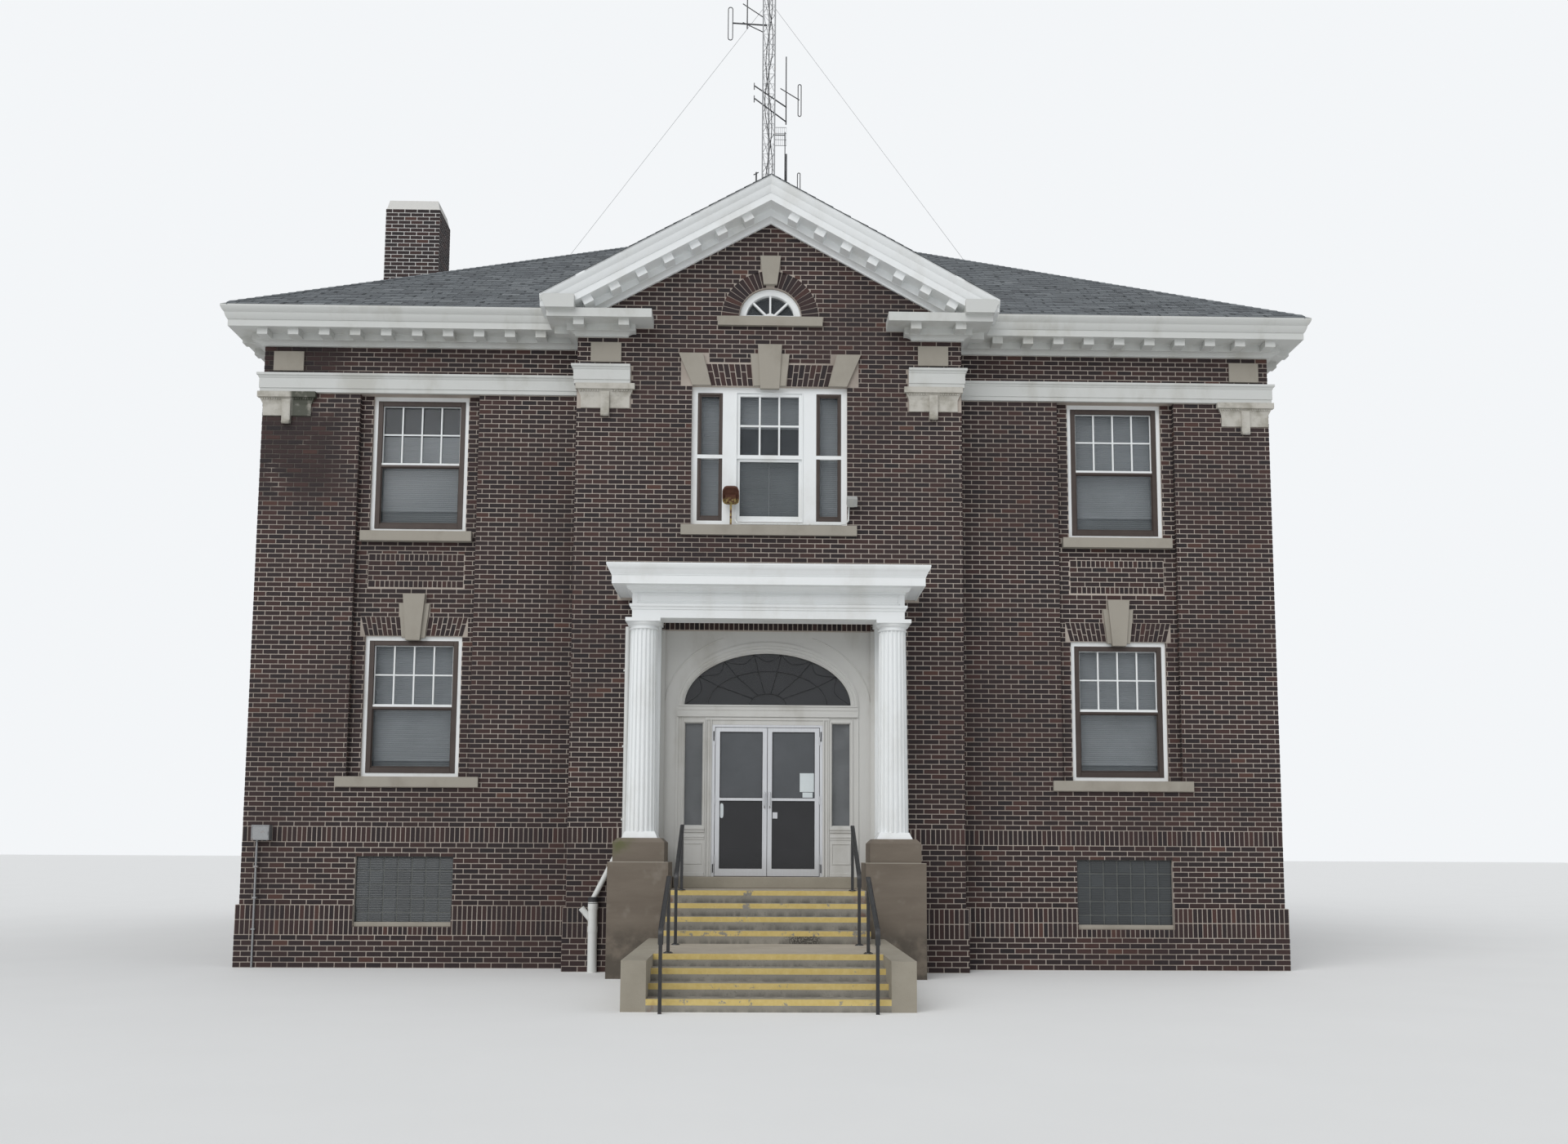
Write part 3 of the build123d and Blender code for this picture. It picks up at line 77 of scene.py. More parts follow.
class Shade:
    """A value or colour socket of one node tree; arithmetic on it adds the nodes that work it out."""

    def __init__(self, tree, socket):
        self.tree = tree
        self.socket = socket

    def node(self, kind, values=None, output=0, **settings):
        """Adds a node with its settings, fills its sockets by name or number, and gives one output."""
        made = self.tree.nodes.new(kind)
        for key, value in settings.items():
            setattr(made, key, value)
        for key, value in (values or {}).items():
            if isinstance(value, Shade):
                self.tree.links.new(value.socket, made.inputs[key])
            else:
                made.inputs[key].default_value = value
        return Shade(self.tree, made.outputs[output])

    __add__ = __radd__ = operator("ADD")
    __sub__ = operator("SUBTRACT")
    __rsub__ = operator("SUBTRACT", swapped=True)
    __mul__ = __rmul__ = operator("MULTIPLY")
    __truediv__ = operator("DIVIDE")
    __gt__ = operator("GREATER_THAN")
    __lt__ = operator("LESS_THAN")
    larger = operator("MAXIMUM")

    def rounded(self):
        """The nearest whole number."""
        return self.node("ShaderNodeMath", {0: self}, operation="ROUND")

    def size(self):
        """The value without its sign."""
        return self.node("ShaderNodeMath", {0: self}, operation="ABSOLUTE")

    def band(self, low, high):
        """Nought below low and one above high, with a soft step between; falling where low is the greater."""
        return self.node("ShaderNodeMapRange", {"Value": self, "From Min": low, "From Max": high},
                         interpolation_type="SMOOTHSTEP")

    def noise(self, scale, detail=3.0, rough=0.55):
        """Fractal noise over this vector."""
        return self.node("ShaderNodeTexNoise",
                         {"Vector": self, "Scale": scale, "Detail": detail, "Roughness": rough})

    def stretched(self, x, y, z):
        """This vector with its axes scaled."""
        return self.node("ShaderNodeVectorMath", {0: self, 1: (x, y, z)}, operation="MULTIPLY")

    def toward(self, first, second):
        """A colour between two, mixed by this value."""
        first, second = (colour if isinstance(colour, Shade) else (*colour, 1) for colour in (first, second))
        return self.node("ShaderNodeMix", {0: self, 6: first, 7: second}, output=2, data_type="RGBA")

    def axis(self, letter):
        """One axis of this vector."""
        return self.node("ShaderNodeSeparateXYZ", {0: self}, output="XYZ".index(letter))

    def tone(self):
        """The tone that the face carries."""
        return self.node("ShaderNodeAttribute", output=2, attribute_name="tone")

    def ramp(self, *stops):
        """A colour read off a ramp at this value, from pairs of place and colour."""
        made = self.node("ShaderNodeValToRGB", {0: self})
        elements = made.socket.node.color_ramp.elements
        while len(elements) < len(stops):
            elements.new(0.5)
        for element, (place, colour) in zip(elements, stops):
            element.position = place
            element.color = (*colour, 1)
        return made


def finish(name, build, metallic=0.0, coat=0.0, alpha=1.0):
    """A material; build gets the object coordinates and gives colour, roughness, height and its depth."""
    material = bpy.data.materials.new(name)
    material.use_nodes = True
    tree = material.node_tree
    surface = tree.nodes["Principled BSDF"]
    place = Shade(tree, tree.nodes.new("ShaderNodeTexCoord").outputs["Object"])
    colour, roughness, height, depth = build(place)
    tree.links.new(colour.socket, surface.inputs["Base Color"])
    if isinstance(roughness, Shade):
        tree.links.new(roughness.socket, surface.inputs["Roughness"])
    else:
        surface.inputs["Roughness"].default_value = roughness
    if height is not None:
        bump = place.node("ShaderNodeBump", {"Height": height, "Distance": depth, "Strength": 1.0})
        tree.links.new(bump.socket, surface.inputs["Normal"])
    for socket, value in (("Metallic", metallic), ("Coat Weight", coat), ("Alpha", alpha)):
        surface.inputs[socket].default_value = value
    return material


def dress(material, *names):
    """Gives CAD nodes a finish."""
    for name in names:
        data = nodes[name].data
        data.materials.clear()
        data.materials.append(material)


def joined(name, shapes, material, body="building", smooth=False, turned=False, tones=None):
    """One piece from many shapes, each an array of corners and a list of faces, riding on a body.

    turned makes every face look outward, and tones gives each face a tone for its material to read.
    """
    corners, faces, start = [], [], 0
    for points, rings in shapes:
        points = np.asarray(points, float).reshape(-1, 3)
        corners.append(points)
        faces += [[n + start for n in ring] for ring in rings]
        start += len(points)
    data = bpy.data.meshes.new(name)
    data.from_pydata(np.concatenate(corners).tolist(), [], faces)
    if tones is not None:
        data.attributes.new("tone", "FLOAT", "FACE").data.foreach_set("value", np.asarray(tones, np.float32))
    data.materials.append(material)
    if smooth:
        data.polygons.foreach_set("use_smooth", np.ones(len(data.polygons), bool))
    data.update()
    data.validate()
    if turned:
        mesh = bmesh.new()
        mesh.from_mesh(data)
        bmesh.ops.recalc_face_normals(mesh, faces=mesh.faces)
        mesh.to_mesh(data)
        mesh.free()
    piece = bpy.data.objects.new(name, data)
    scene.collection.objects.link(piece)
    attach(piece, body)
    return piece


def varied(name, meshes, material, seed, first, second, sides=5):
    """One piece of many small units of sides faces, every unit with a tone drawn from Beta(first, second)."""
    units = sum(len(rings) for _, rings in meshes) // sides
    tones = np.repeat(np.random.default_rng(seed).beta(first, second, units), sides)
    return joined(name, meshes, material, tones=tones)


def floor_look(place):
    """Pale matt floor with a faint mottle."""
    return place.noise(0.6).toward((0.86, 0.86, 0.85), (0.90, 0.90, 0.89)), 0.9, None, 0


floor_data = bpy.data.meshes.new("studio_floor")
floor_data.from_pydata([(-200, -200, 0), (200, -200, 0), (200, 300, 0), (-200, 300, 0)], [], [(0, 1, 2, 3)])
floor_data.materials.append(finish("pale_floor", floor_look))
floor = bpy.data.objects.new("studio_floor", floor_data)
scene.collection.objects.link(floor)

world = bpy.data.worlds.new("pale_sky")
world.use_nodes = True
scene.world = world
sky = world.node_tree
sky_light = sky.nodes["Background"]
sky_light.inputs["Color"].default_value = (0.93, 0.96, 1.0, 1)
sky_light.inputs["Strength"].default_value = 0.47
light_rays = sky.nodes.new("ShaderNodeLightPath").outputs
camera_ray, mirror_ray, glass_ray = (Shade(sky, light_rays[kind]) for kind in
                                     ("Is Camera Ray", "Is Glossy Ray", "Is Transmission Ray"))
looked_at = camera_ray.larger(mirror_ray.larger(glass_ray))
backdrop = looked_at.node("ShaderNodeBackground", {"Color": (0.9, 0.92, 0.94, 1)})
sky_mix = looked_at.node("ShaderNodeMixShader",
                         {0: looked_at, 1: Shade(sky, sky_light.outputs[0]), 2: backdrop})
sky.links.new(sky_mix.socket, sky.nodes["World Output"].inputs["Surface"])

# Brickwork: hard dark bricks, purple-brown to blue-black, laid in running bond in pale lime mortar.
# The walls' solids are the mortar; every brick stands 5 mm proud of them, with its edges eased.
# Soldier courses ring the building at the base and under the main floor, and arches span the windows.
wing_half, bay_half, depth, bay_y = 7.65, 2.85, 16.8, -0.5
base_step = 0.04
base_low, base_middle, base_top = 0.47, 0.685, 0.90
belt_low, belt_high = 1.81, 2.035
frieze_low, frieze_top = 8.57, 9.29
band_top = 8.86
window_x, window_half, block_half, panel_half = 5.29, 0.72, 0.7105, 0.9
panel_low, panel_high, panel_back = 2.62, 8.57, 0.1
window_rows = ((2.77, 4.88), (6.46, 8.57))
side_centres = [2.36 + i * (depth - 4.72) / 3 for i in range(4)]
back_centres = [-window_x, -window_x / 3, window_x / 3, window_x]
mortar_joint, brick_pitch, brick_proud, brick_ease, brick_sunk = 0.012, 0.2256, 0.005, 0.002, 0.001
course_low, course_high, soldier_pitch, header = 0.0762, 0.0722, 0.0715, 0.107
least_length, least_cut = 0.02, 0.012


def mortar_look(place):
    """Pale lime mortar, sandy, whiter in patches, and black with damp under the outer left capital."""
    grain = place.noise(180)
    patch = place.noise(0.45, 3.0).band(0.38, 0.62)
    mixed = place.noise(3.0) * 0.4 + grain * 0.2 + patch * 0.4
    colour = mixed.toward((0.20, 0.165, 0.140), (0.58, 0.515, 0.455))
    z = place.axis("Z")
    damp = place.axis("X").band(-6.15, -6.75) * z.band(6.2, 7.4) * place.noise(1.7, 4.0).band(0.25, 0.5)
    colour = (damp * 0.85).toward(colour, (0.035, 0.030, 0.026))
    return colour, 0.95, grain, 0.001


def white_mortar_look(place):
    """Whiter mortar, repointed on the chimney."""
    grain = place.noise(180)
    return grain.toward((0.62, 0.61, 0.58), (0.80, 0.79, 0.76)), 0.95, grain, 0.001


def brick_look(place):
    """Fired clay whose tone comes with each brick, mottled, with a thin pale bloom."""
    body = place.tone().ramp((0.0, (0.010, 0.0062, 0.0078)), (0.30, (0.019, 0.0102, 0.0110)),
                             (0.62, (0.032, 0.0152, 0.0142)), (0.86, (0.050, 0.0215, 0.0180)),
                             (1.0, (0.088, 0.0380, 0.0265)))
    mottle = place.noise(38, 4.0, 0.65)
    colour = (mottle.band(0.52, 0.78) * 0.3).toward(body, (0.085, 0.068, 0.066))
    return colour, 0.72 + mottle * 0.2, place.noise(260) * 0.5 + mottle, 0.0016


dress(finish("lime_mortar", mortar_look), "wing_wall_left", "wing_wall_right", "side_wall_left",
      "side_wall_right", "back_wall", "bay_wall_left", "bay_wall_right", "bay_wall_upper")
dress(finish("white_mortar", white_mortar_look), "chimney")
fired_brick = finish("dark_brick", brick_look)


def bond(u0, u1, v0, v1, course, pitch=brick_pitch, shift=0.0):
    """Running bond over a rectangle: rows of the course height, each shifted half a brick from the last.

    Gives an array of bricks as left, right, low and high, already parted by the mortar joint.
    """
    rows = max(1, round((v1 - v0) / course))
    course = (v1 - v0) / rows
    columns = int(np.ceil((u1 - u0) / pitch)) + 2
    j, i = np.meshgrid(np.arange(rows), np.arange(-1, columns), indexing="ij")
    left = u0 + shift + (i + 0.5 * (j % 2)) * pitch
    low = v0 + j * course
    half = mortar_joint / 2
    bricks = np.stack([left + half, left + pitch - half, low + half, low + course - half], -1).reshape(-1, 4)
    return clipped(bricks, u0, u1)


def clipped(bricks, left, right):
    """Bricks cut off at a left and a right limit, without the scraps."""
    bricks = bricks.copy()
    bricks[:, 0] = np.maximum(bricks[:, 0], left)
    bricks[:, 1] = np.minimum(bricks[:, 1], right)
    return bricks[bricks[:, 1] - bricks[:, 0] > least_length]


def soldiers(u0, u1, v0, v1, pitch=soldier_pitch):
    """Upright bricks side by side over a rectangle, as many as fit it evenly."""
    count = max(1, round((u1 - u0) / pitch))
    edges = np.linspace(u0, u1, count + 1)
    half = mortar_joint / 2
    low, high = np.full(count, v0 + half), np.full(count, v1 - half)
    return np.stack([edges[:-1] + half, edges[1:] - half, low, high], -1)


def cut_out(bricks, u0, u1, v0, v1):
    """The bricks with a rectangle taken out of them: what is left beside, below and above it."""
    hit = (bricks[:, 0] < u1) & (bricks[:, 1] > u0) & (bricks[:, 2] < v1) & (bricks[:, 3] > v0)
    kept = [bricks[~hit]]
    for column, bound, limit in ((1, u0, np.minimum), (0, u1, np.maximum),
                                 (3, v0, np.minimum), (2, v1, np.maximum)):
        rest = bricks[hit]
        rest[:, column] = limit(rest[:, column], bound)
        if column > 1:
            rest[:, 0] = np.maximum(rest[:, 0], u0)
            rest[:, 1] = np.minimum(rest[:, 1], u1)
        kept.append(rest)
    bricks = np.concatenate(kept)
    return bricks[(bricks[:, 1] - bricks[:, 0] > least_cut) & (bricks[:, 3] - bricks[:, 2] > least_cut)]


def squared(bricks):
    """Rectangles given as left, right, low and high, as four corners each, turning left."""
    left, right, low, high = np.asarray(bricks).T
    corners = (left, low), (right, low), (right, high), (left, high)
    return np.stack([np.stack(corner, -1) for corner in corners], 1)


def raised(foot, face, lift, sunk, origin, across, up, out):
    """Low solids, open below, between the quads foot, sunk under the plane, and the quads face, lifted.

    A point is origin + u across + v up + w out, for all corners of all quads at once.
    """
    origin, across, up, out = (np.asarray(v, float) for v in (origin, across, up, out))
    under = origin + foot[..., :1] * across + foot[..., 1:] * up - sunk * out
    over = origin + face[..., :1] * across + face[..., 1:] * up + lift * out
    corners = np.concatenate([under, over], 1).reshape(-1, 3)
    first = (np.arange(len(foot)) * 8)[:, None, None]
    shape = np.array([[4, 5, 6, 7], [0, 1, 5, 4], [1, 2, 6, 5], [2, 3, 7, 6], [3, 0, 4, 7]])
    if np.dot(np.cross(across, up), out) < 0:
        shape = shape[:, ::-1]
    return corners, (first + shape).reshape(-1, 4).tolist()


def brick_mesh(bricks, *plane, proud=brick_proud):
    """Bricks as low frusta: each face lifted by proud, its corners eased toward the middle of the brick."""
    quads = squared(bricks) if np.ndim(bricks) == 2 else np.asarray(bricks)
    eased = quads + brick_ease * np.sign(quads.mean(1, keepdims=True) - quads)
    return raised(quads, eased, proud, brick_sunk, *plane)


def brick_piece(name, layers, seed):
    """One piece from several layers of bricks, each with its own plane, and a random tone for every brick."""
    varied(name, [brick_mesh(*layer) for layer in layers], fired_brick, seed, 2.0, 2.6)


def face_courses(u0, u1, top, shift=0.0):
    """The bricks of a wall's face: bond over the base, the belt of soldiers, and bond up to the top."""
    return np.concatenate([bond(u0, u1, base_top, belt_low, course_low),
                           soldiers(u0, u1, belt_low, belt_high),
                           bond(u0, u1, belt_high, top, course_high, shift=shift)])


def base_courses(u0, u1):
    """The bricks of the stepped base: two courses of soldiers over bond."""
    return np.concatenate([soldiers(u0, u1, base_middle, base_top), soldiers(u0, u1, base_low, base_middle),
                           bond(u0, u1, 0.0, base_low, course_low)])


def flat_arch(inner_low, inner_high, outer_low, outer_high, low, high, columns=8):
    """Splayed bricks of both halves of a flat arch beside its keystone: two to a column, joints alternating.

    Column i lies between the shares i / n and (i + 1) / n of the lower and the upper edge.
    """
    i = np.arange(columns)
    stones = []
    for first, last in ((0.0, 0.36), (0.36, 1.0)):
        a = np.where((first == 0) | (i % 2 == 0), first, 0.64)
        b = np.where((last == 1) | (i % 2 == 0), last, 0.64)
        corner = []
        for share, level, half in ((0, a, 1), (1, a, 1), (1, b, -1), (0, b, -1)):
            bottom = inner_low + (outer_low - inner_low) * (i + share) / columns
            top = inner_high + (outer_high - inner_high) * (i + share) / columns
            inward = mortar_joint / 2 * (1 if share == 0 else -1)
            corner.append(np.stack([bottom + (top - bottom) * level + inward,
                                    low + (high - low) * level + half * mortar_joint / 2], -1))
        stones.append(np.stack(corner, 1))
    right = np.concatenate(stones)
    return np.concatenate([right, right[:, ::-1] * (-1, 1)])


def header_panel(low, high, half):
    """The patterned panel: a row of upright headers above and below four courses, with square end bricks."""
    rows = []
    for bottom in (low, high - header):
        rows.append(soldiers(-half + header, half - header, bottom, bottom + header))
        for left in (-half, half - header):
            rows.append(soldiers(left, left + header, bottom, bottom + header, pitch=header))
    rows.append(bond(-half, half, low + header, high - header, 0.0745))
    return squared(np.concatenate(rows))


# The four walls: tall panels one storey over the other are set back in them, with reveals at their sides.
# Rows of half width, low and high give what is cut out at each window: in the face the panel, the blocks and
# the sill; in the panel the two windows, the upper sill, the arch, its stones and the patterned panel.
face_cuts = ((panel_half, panel_low, panel_high), (block_half, 0.59, 1.605), (1.045, 2.62, 2.77))
panel_cuts = ((window_half, *window_rows[0]), (window_half, *window_rows[1]), (0.83, 6.31, 6.46),
              (0.80, 4.88, 5.175), (0.235, 5.17, 5.375), (0.17, 5.37, 5.515), (0.719, 5.61, 6.134))
arch_stones = flat_arch(0.178, 0.212, 0.73, 0.80, 4.88, 5.172)
pattern = header_panel(5.616, 6.128, 0.713)
upright = (0, 0, 1)
for name, u0, u1, base_u0, centres, origin, across, out, seed in (
        ("brick_wing_right", bay_half, wing_half, bay_half, [window_x], (0, 0, 0), (1, 0, 0), (0, -1, 0), 2),
        ("brick_wing_left", bay_half, wing_half, bay_half, [window_x], (0, 0, 0), (-1, 0, 0), (0, -1, 0), 3),
        ("brick_side_right", 0, depth, -base_step, side_centres, (wing_half, 0, 0), (0, 1, 0), (1, 0, 0), 4),
        ("brick_side_left", 0, depth, -base_step, side_centres, (-wing_half, 0, 0), (0, 1, 0), (-1, 0, 0), 5),
        ("brick_back", -wing_half, wing_half, -wing_half - base_step, back_centres, (0, depth, 0), (1, 0, 0),
         (0, 1, 0), 6)):
    origin, across, out = (np.asarray(v, float) for v in (origin, across, out))
    face, base = face_courses(u0, u1, frieze_top), base_courses(base_u0, u1 + base_step)
    openings = [(c - half, c + half, low, high) for half, low, high in face_cuts for c in centres]
    for opening in (*openings, (u0, u1, panel_high, band_top)):
        face = cut_out(face, *opening)
        base = cut_out(base, *opening)
    layers = [(face, origin, across, upright, out), (base, origin + base_step * out, across, upright, out)]
    for c in centres:
        panel = bond(c - panel_half, c + panel_half, window_rows[0][0], panel_high, course_high, shift=0.06)
        for half, low, high in panel_cuts:
            panel = cut_out(panel, c - half, c + half, low, high)
        back = (origin - panel_back * out, across, upright, out)
        layers += [(panel, *back), (arch_stones + (c, 0), *back), (pattern + (c, 0), *back)]
        for side in (-1, 1):
            jamb = bond(0.0, panel_back, window_rows[0][0], panel_high, course_high)
            layers.append((jamb, origin + (c + side * panel_half) * across, -out, upright, -side * across))
    brick_piece(name, layers, seed)

# The bay's brickwork: the same bond, running up into the pediment, around the porch, the middle window and
# the half-round lunette, whose arch is one ring of bricks on end. Soldiers show between surround and porch.
lunette_z, ring_inner, ring_outer, ring_gap = 9.63, 0.470, 0.725, 0.008
surround_half, surround_top = 1.5, 4.90
rake_tip, rake_slope = 11.12, 0.5552
brick_top = 11.09


def round_ring(bricks):
    """Bricks cut short beside the ring of the lunette, each course at the circle's width at its middle."""
    for low, high in np.unique(np.round(bricks[:, 2:], 5), axis=0):
        level = (low + high) / 2 - lunette_z
        if 0 < level < ring_outer:
            half = np.sqrt(ring_outer**2 - level**2) + ring_gap
            bricks = cut_out(bricks, -half, half, low - 0.001, high + 0.001)
    return bricks


arch_angles = np.linspace(0.0, np.pi, 27)
keystone_turn, joint_turn = 0.17, 0.0075
middle = (arch_angles[:-1] > np.pi / 2 - keystone_turn) & (arch_angles[1:] < np.pi / 2 + keystone_turn)
ring = []
for radius, edge in ((ring_inner, 0), (ring_inner, 1), (ring_outer, 1), (ring_outer, 0)):
    angle = arch_angles[:-1] + joint_turn if edge else arch_angles[1:] - joint_turn
    ring.append(np.stack([radius * np.cos(angle), lunette_z + radius * np.sin(angle)], -1))
ring = np.stack(ring, 1)[~middle][:, ::-1]

# Inner and outer distance from the centre line, low and high of each cut; nought inside is one cut across.
bay_cuts = ((0, surround_half, base_top, surround_top), (0, surround_half, surround_top, 5.015),
            (1.34, 2.12, base_top, 1.88), (1.54, 1.95, 1.88, 4.95), (0, 1.93, 5.04, 5.34),
            (0, 2.2, 5.33, 5.64), (0, 1.29, 6.31, 6.46), (0, 1.15, 6.46, 8.57), (0, 0.99, 8.57, 8.915),
            (0.9, 1.32, 8.57, 9.065), (0, 0.285, 8.9, 9.065), (0, 0.178, 9.06, 9.205),
            (0, 0.78, 9.49, lunette_z), (0, 0.15, 10.30, 10.575),
            (2.05, bay_half, 8.22, band_top), (2.14, bay_half, frieze_top, 9.74))
bay_face = np.concatenate([face_courses(-bay_half, bay_half, frieze_low, shift=0.03),
                           bond(-bay_half, bay_half, frieze_low, brick_top, course_high, shift=0.03)])
for inner, outer, low, high in bay_cuts:
    for left, right in ((-outer, -inner), (inner, outer)) if inner else ((-outer, outer),):
        bay_face = cut_out(bay_face, left, right, low, high)
bay_face = round_ring(bay_face)
rake_half = (rake_tip - bay_face[:, 2]) / rake_slope
bay_face = clipped(bay_face, -rake_half, rake_half)
bay_base = cut_out(base_courses(-bay_half - base_step, bay_half + base_step), -2.155, 2.155, 0.0, 0.9)
front = ((0, bay_y, 0), (1, 0, 0), upright, (0, -1, 0))
bay_layers = [(bay_face, *front), (bay_base, (0, bay_y - base_step, 0), *front[1:]),
              (soldiers(-surround_half, surround_half, surround_top, 5.012), *front), (ring, *front),
              (flat_arch(0.245, 0.275, 0.872, 0.95, 8.57, 8.912), *front)]
for side in (-1, 1):
    cheek = cut_out(face_courses(bay_y, 0, frieze_top), bay_y, 0, frieze_low, band_top)
    foot = np.concatenate([soldiers(bay_y - base_step, -base_step, base_low, base_top),
                           bond(bay_y - base_step, -base_step, 0.0, base_low, course_low)])
    for bricks, reach in ((cheek, bay_half), (foot, bay_half + base_step)):
        bay_layers.append((bricks, (side * reach, 0, 0), (0, 1, 0), upright, (side, 0, 0)))
brick_piece("brick_bay", bay_layers, 7)

# The chimney: a tall brick stack off the left slope, in bond on all four sides.
# Its solid is the white mortar, and ends in the sloping wash over the top course.
stack_left, stack_right, stack_front, stack_back = -7.02, -6.04, 3.6, 4.36
stack_low, stack_high = 10.36, 13.395
brick_piece("brick_chimney", [
    (bond(0.0, length, stack_low, stack_high, course_high), (x, y, 0), across, upright, out)
    for x, y, across, length, out in ((stack_left, stack_front, (1, 0, 0), 0.98, (0, -1, 0)),
                                      (stack_right, stack_back, (-1, 0, 0), 0.98, (0, 1, 0)),
                                      (stack_left, stack_back, (0, -1, 0), 0.76, (-1, 0, 0)),
                                      (stack_right, stack_front, (0, 1, 0), 0.76, (1, 0, 0)))], 8)

# The roof: laminated asphalt shingles, slate grey, nailed in courses up the four hips and the bay's gable.
# Every tab is a thin wedge that lies on the boards, thick at its lower edge; caps are folded over each ridge.
# The slopes rise 0.67 in 1 and the gable 0.555 in 1, both from the top of the cornice.
eave_z, eave_x, front_y, rear_y = 9.74, 8.15, -0.5, 17.3
roof_slope, gable_half = 0.67, 3.35
gable_slope = 1.86 / gable_half
slope_run, gable_run = np.hypot(1.0, roof_slope), np.hypot(1.0, gable_slope)
climb = np.array([1.0, roof_slope]) / slope_run
fold = np.array([1.0, gable_slope]) / gable_run
tab_height, tab_width, tab_shake, least_tab = 0.145, 0.32, 0.05, 0.03
tab_thick, tab_thin, cap_inset = 0.009, 0.002, 0.10


def shingle_look(place):
    """Mineral granules on asphalt, slate grey, blended from tab to tab, with streaks of weather."""
    body = place.tone().ramp((0.0, (0.068, 0.075, 0.083)), (0.4, (0.108, 0.120, 0.130)),
                             (0.75, (0.150, 0.165, 0.176)), (1.0, (0.205, 0.220, 0.230)))
    grain = place.noise(420, 2.0)
    streak = place.stretched(1.0, 0.35, 0.35).noise(2.2, 4.0)
    colour = (grain.band(0.42, 0.66) * 0.35).toward(body, (0.24, 0.25, 0.26))
    colour = (streak.band(0.5, 0.75) * 0.22).toward(colour, (0.06, 0.068, 0.066))
    return colour, 0.93, grain, 0.0012


shingle = finish("asphalt_shingle", shingle_look)
dress(shingle, "roof_front", "roof_back", "roof_left", "roof_right", "gable_roof")


def tabs(length, height, left_of, right_of, gap=None):
    """Shingle tabs on a slope: rows of tab_height, each row cut to the slope's left and right edges.

    left_of and right_of give the edges at a height up the slope, and gap gives there the low and high limit
    of a stretch left bare, with a high limit under the low one where there is none.
    """
    rows = bond(-1.0, length + 1.0, 0.0, height, tab_height, pitch=tab_width)
    shake = np.random.default_rng(11).uniform(-tab_shake, tab_shake, len(rows))
    rows += np.stack([shake - mortar_joint / 3, shake + mortar_joint / 3,
                      np.full_like(shake, -mortar_joint / 2), np.full_like(shake, mortar_joint / 2)], -1)
    level = rows[:, 3]
    rows[:, 0] = np.maximum(rows[:, 0], left_of(level))
    rows[:, 1] = np.minimum(rows[:, 1], right_of(level))
    rows = rows[rows[:, 1] - rows[:, 0] > least_tab]
    if gap is None:
        return rows
    low, high = gap(rows[:, 2])
    before, after = rows.copy(), rows.copy()
    before[:, 1] = np.minimum(before[:, 1], low)
    after[:, 0] = np.maximum(after[:, 0], np.where(high > low, high, rows[:, 0]))
    before = before[(before[:, 1] - before[:, 0] > least_tab) & (high > low)]
    return np.concatenate([before, after[after[:, 1] - after[:, 0] > least_tab]])


def tab_mesh(rows, *plane):
    """Wedges from rows of tabs, open below: thick along the low edge and thin along the high one."""
    quads = squared(rows)
    lift = np.array([tab_thick, tab_thick, tab_thin, tab_thin])[:, None]
    return raised(quads, quads, lift, tab_thin, *plane)


def in_from_eave(level):
    """How far a slope's hip edge has come in at a height up the slope: the plan distance, level / run."""
    return level / slope_run


def under_gable(level):
    """The stretch of the front slope that the bay's gable covers: |x| < half width - rise / gable slope."""
    half = gable_half - level * climb[1] / gable_slope
    return eave_x - half, np.where(half > 0, eave_x + half, -1.0)


def beside_chimney(level):
    """The stretch of the left slope that the chimney fills, in metres from the front eave."""
    here = (level > (eave_x + stack_left - 0.02) * slope_run) & (level < (eave_x + stack_right) * slope_run)
    return np.full_like(level, stack_front - front_y), np.where(here, stack_back - front_y, -1.0)


def behind_gable(level):
    """Where a gable slope, measured from y = -1, meets the front slope behind it."""
    return level * fold[1] / roof_slope + 0.5


full_slope = eave_x * slope_run - 0.002
side_length = rear_y - front_y
for name, length, gap, corner, across, inward, seed in (
        ("shingles_front", 2 * eave_x, under_gable, (-eave_x, front_y), (1, 0, 0), (0, 1), 21),
        ("shingles_back", 2 * eave_x, None, (eave_x, rear_y), (-1, 0, 0), (0, -1), 22),
        ("shingles_left", side_length, beside_chimney, (-eave_x, front_y), (0, 1, 0), (1, 0), 23),
        ("shingles_right", side_length, None, (eave_x, front_y), (0, 1, 0), (-1, 0), 24)):
    rows = tabs(length, full_slope, in_from_eave, lambda level: length - in_from_eave(level), gap)
    up = (inward[0] * climb[0], inward[1] * climb[0], climb[1])
    out = (-inward[0] * climb[1], -inward[1] * climb[1], climb[0])
    varied(name, [tab_mesh(rows, (*corner, eave_z), across, up, out)], shingle, seed, 2.2, 2.2)
gable_tabs = tabs(4.0, gable_half * gable_run - 0.01, lambda level: np.full_like(level, -0.02), behind_gable)
gable_planes = [((side * gable_half, -1.0, eave_z), (0, 1, 0), (-side * fold[0], 0, fold[1]),
                 (side * fold[1], 0, fold[0])) for side in (-1, 1)]
varied("shingles_gable", [tab_mesh(gable_tabs, *plane) for plane in gable_planes], shingle,
       25, 2.2, 2.2)


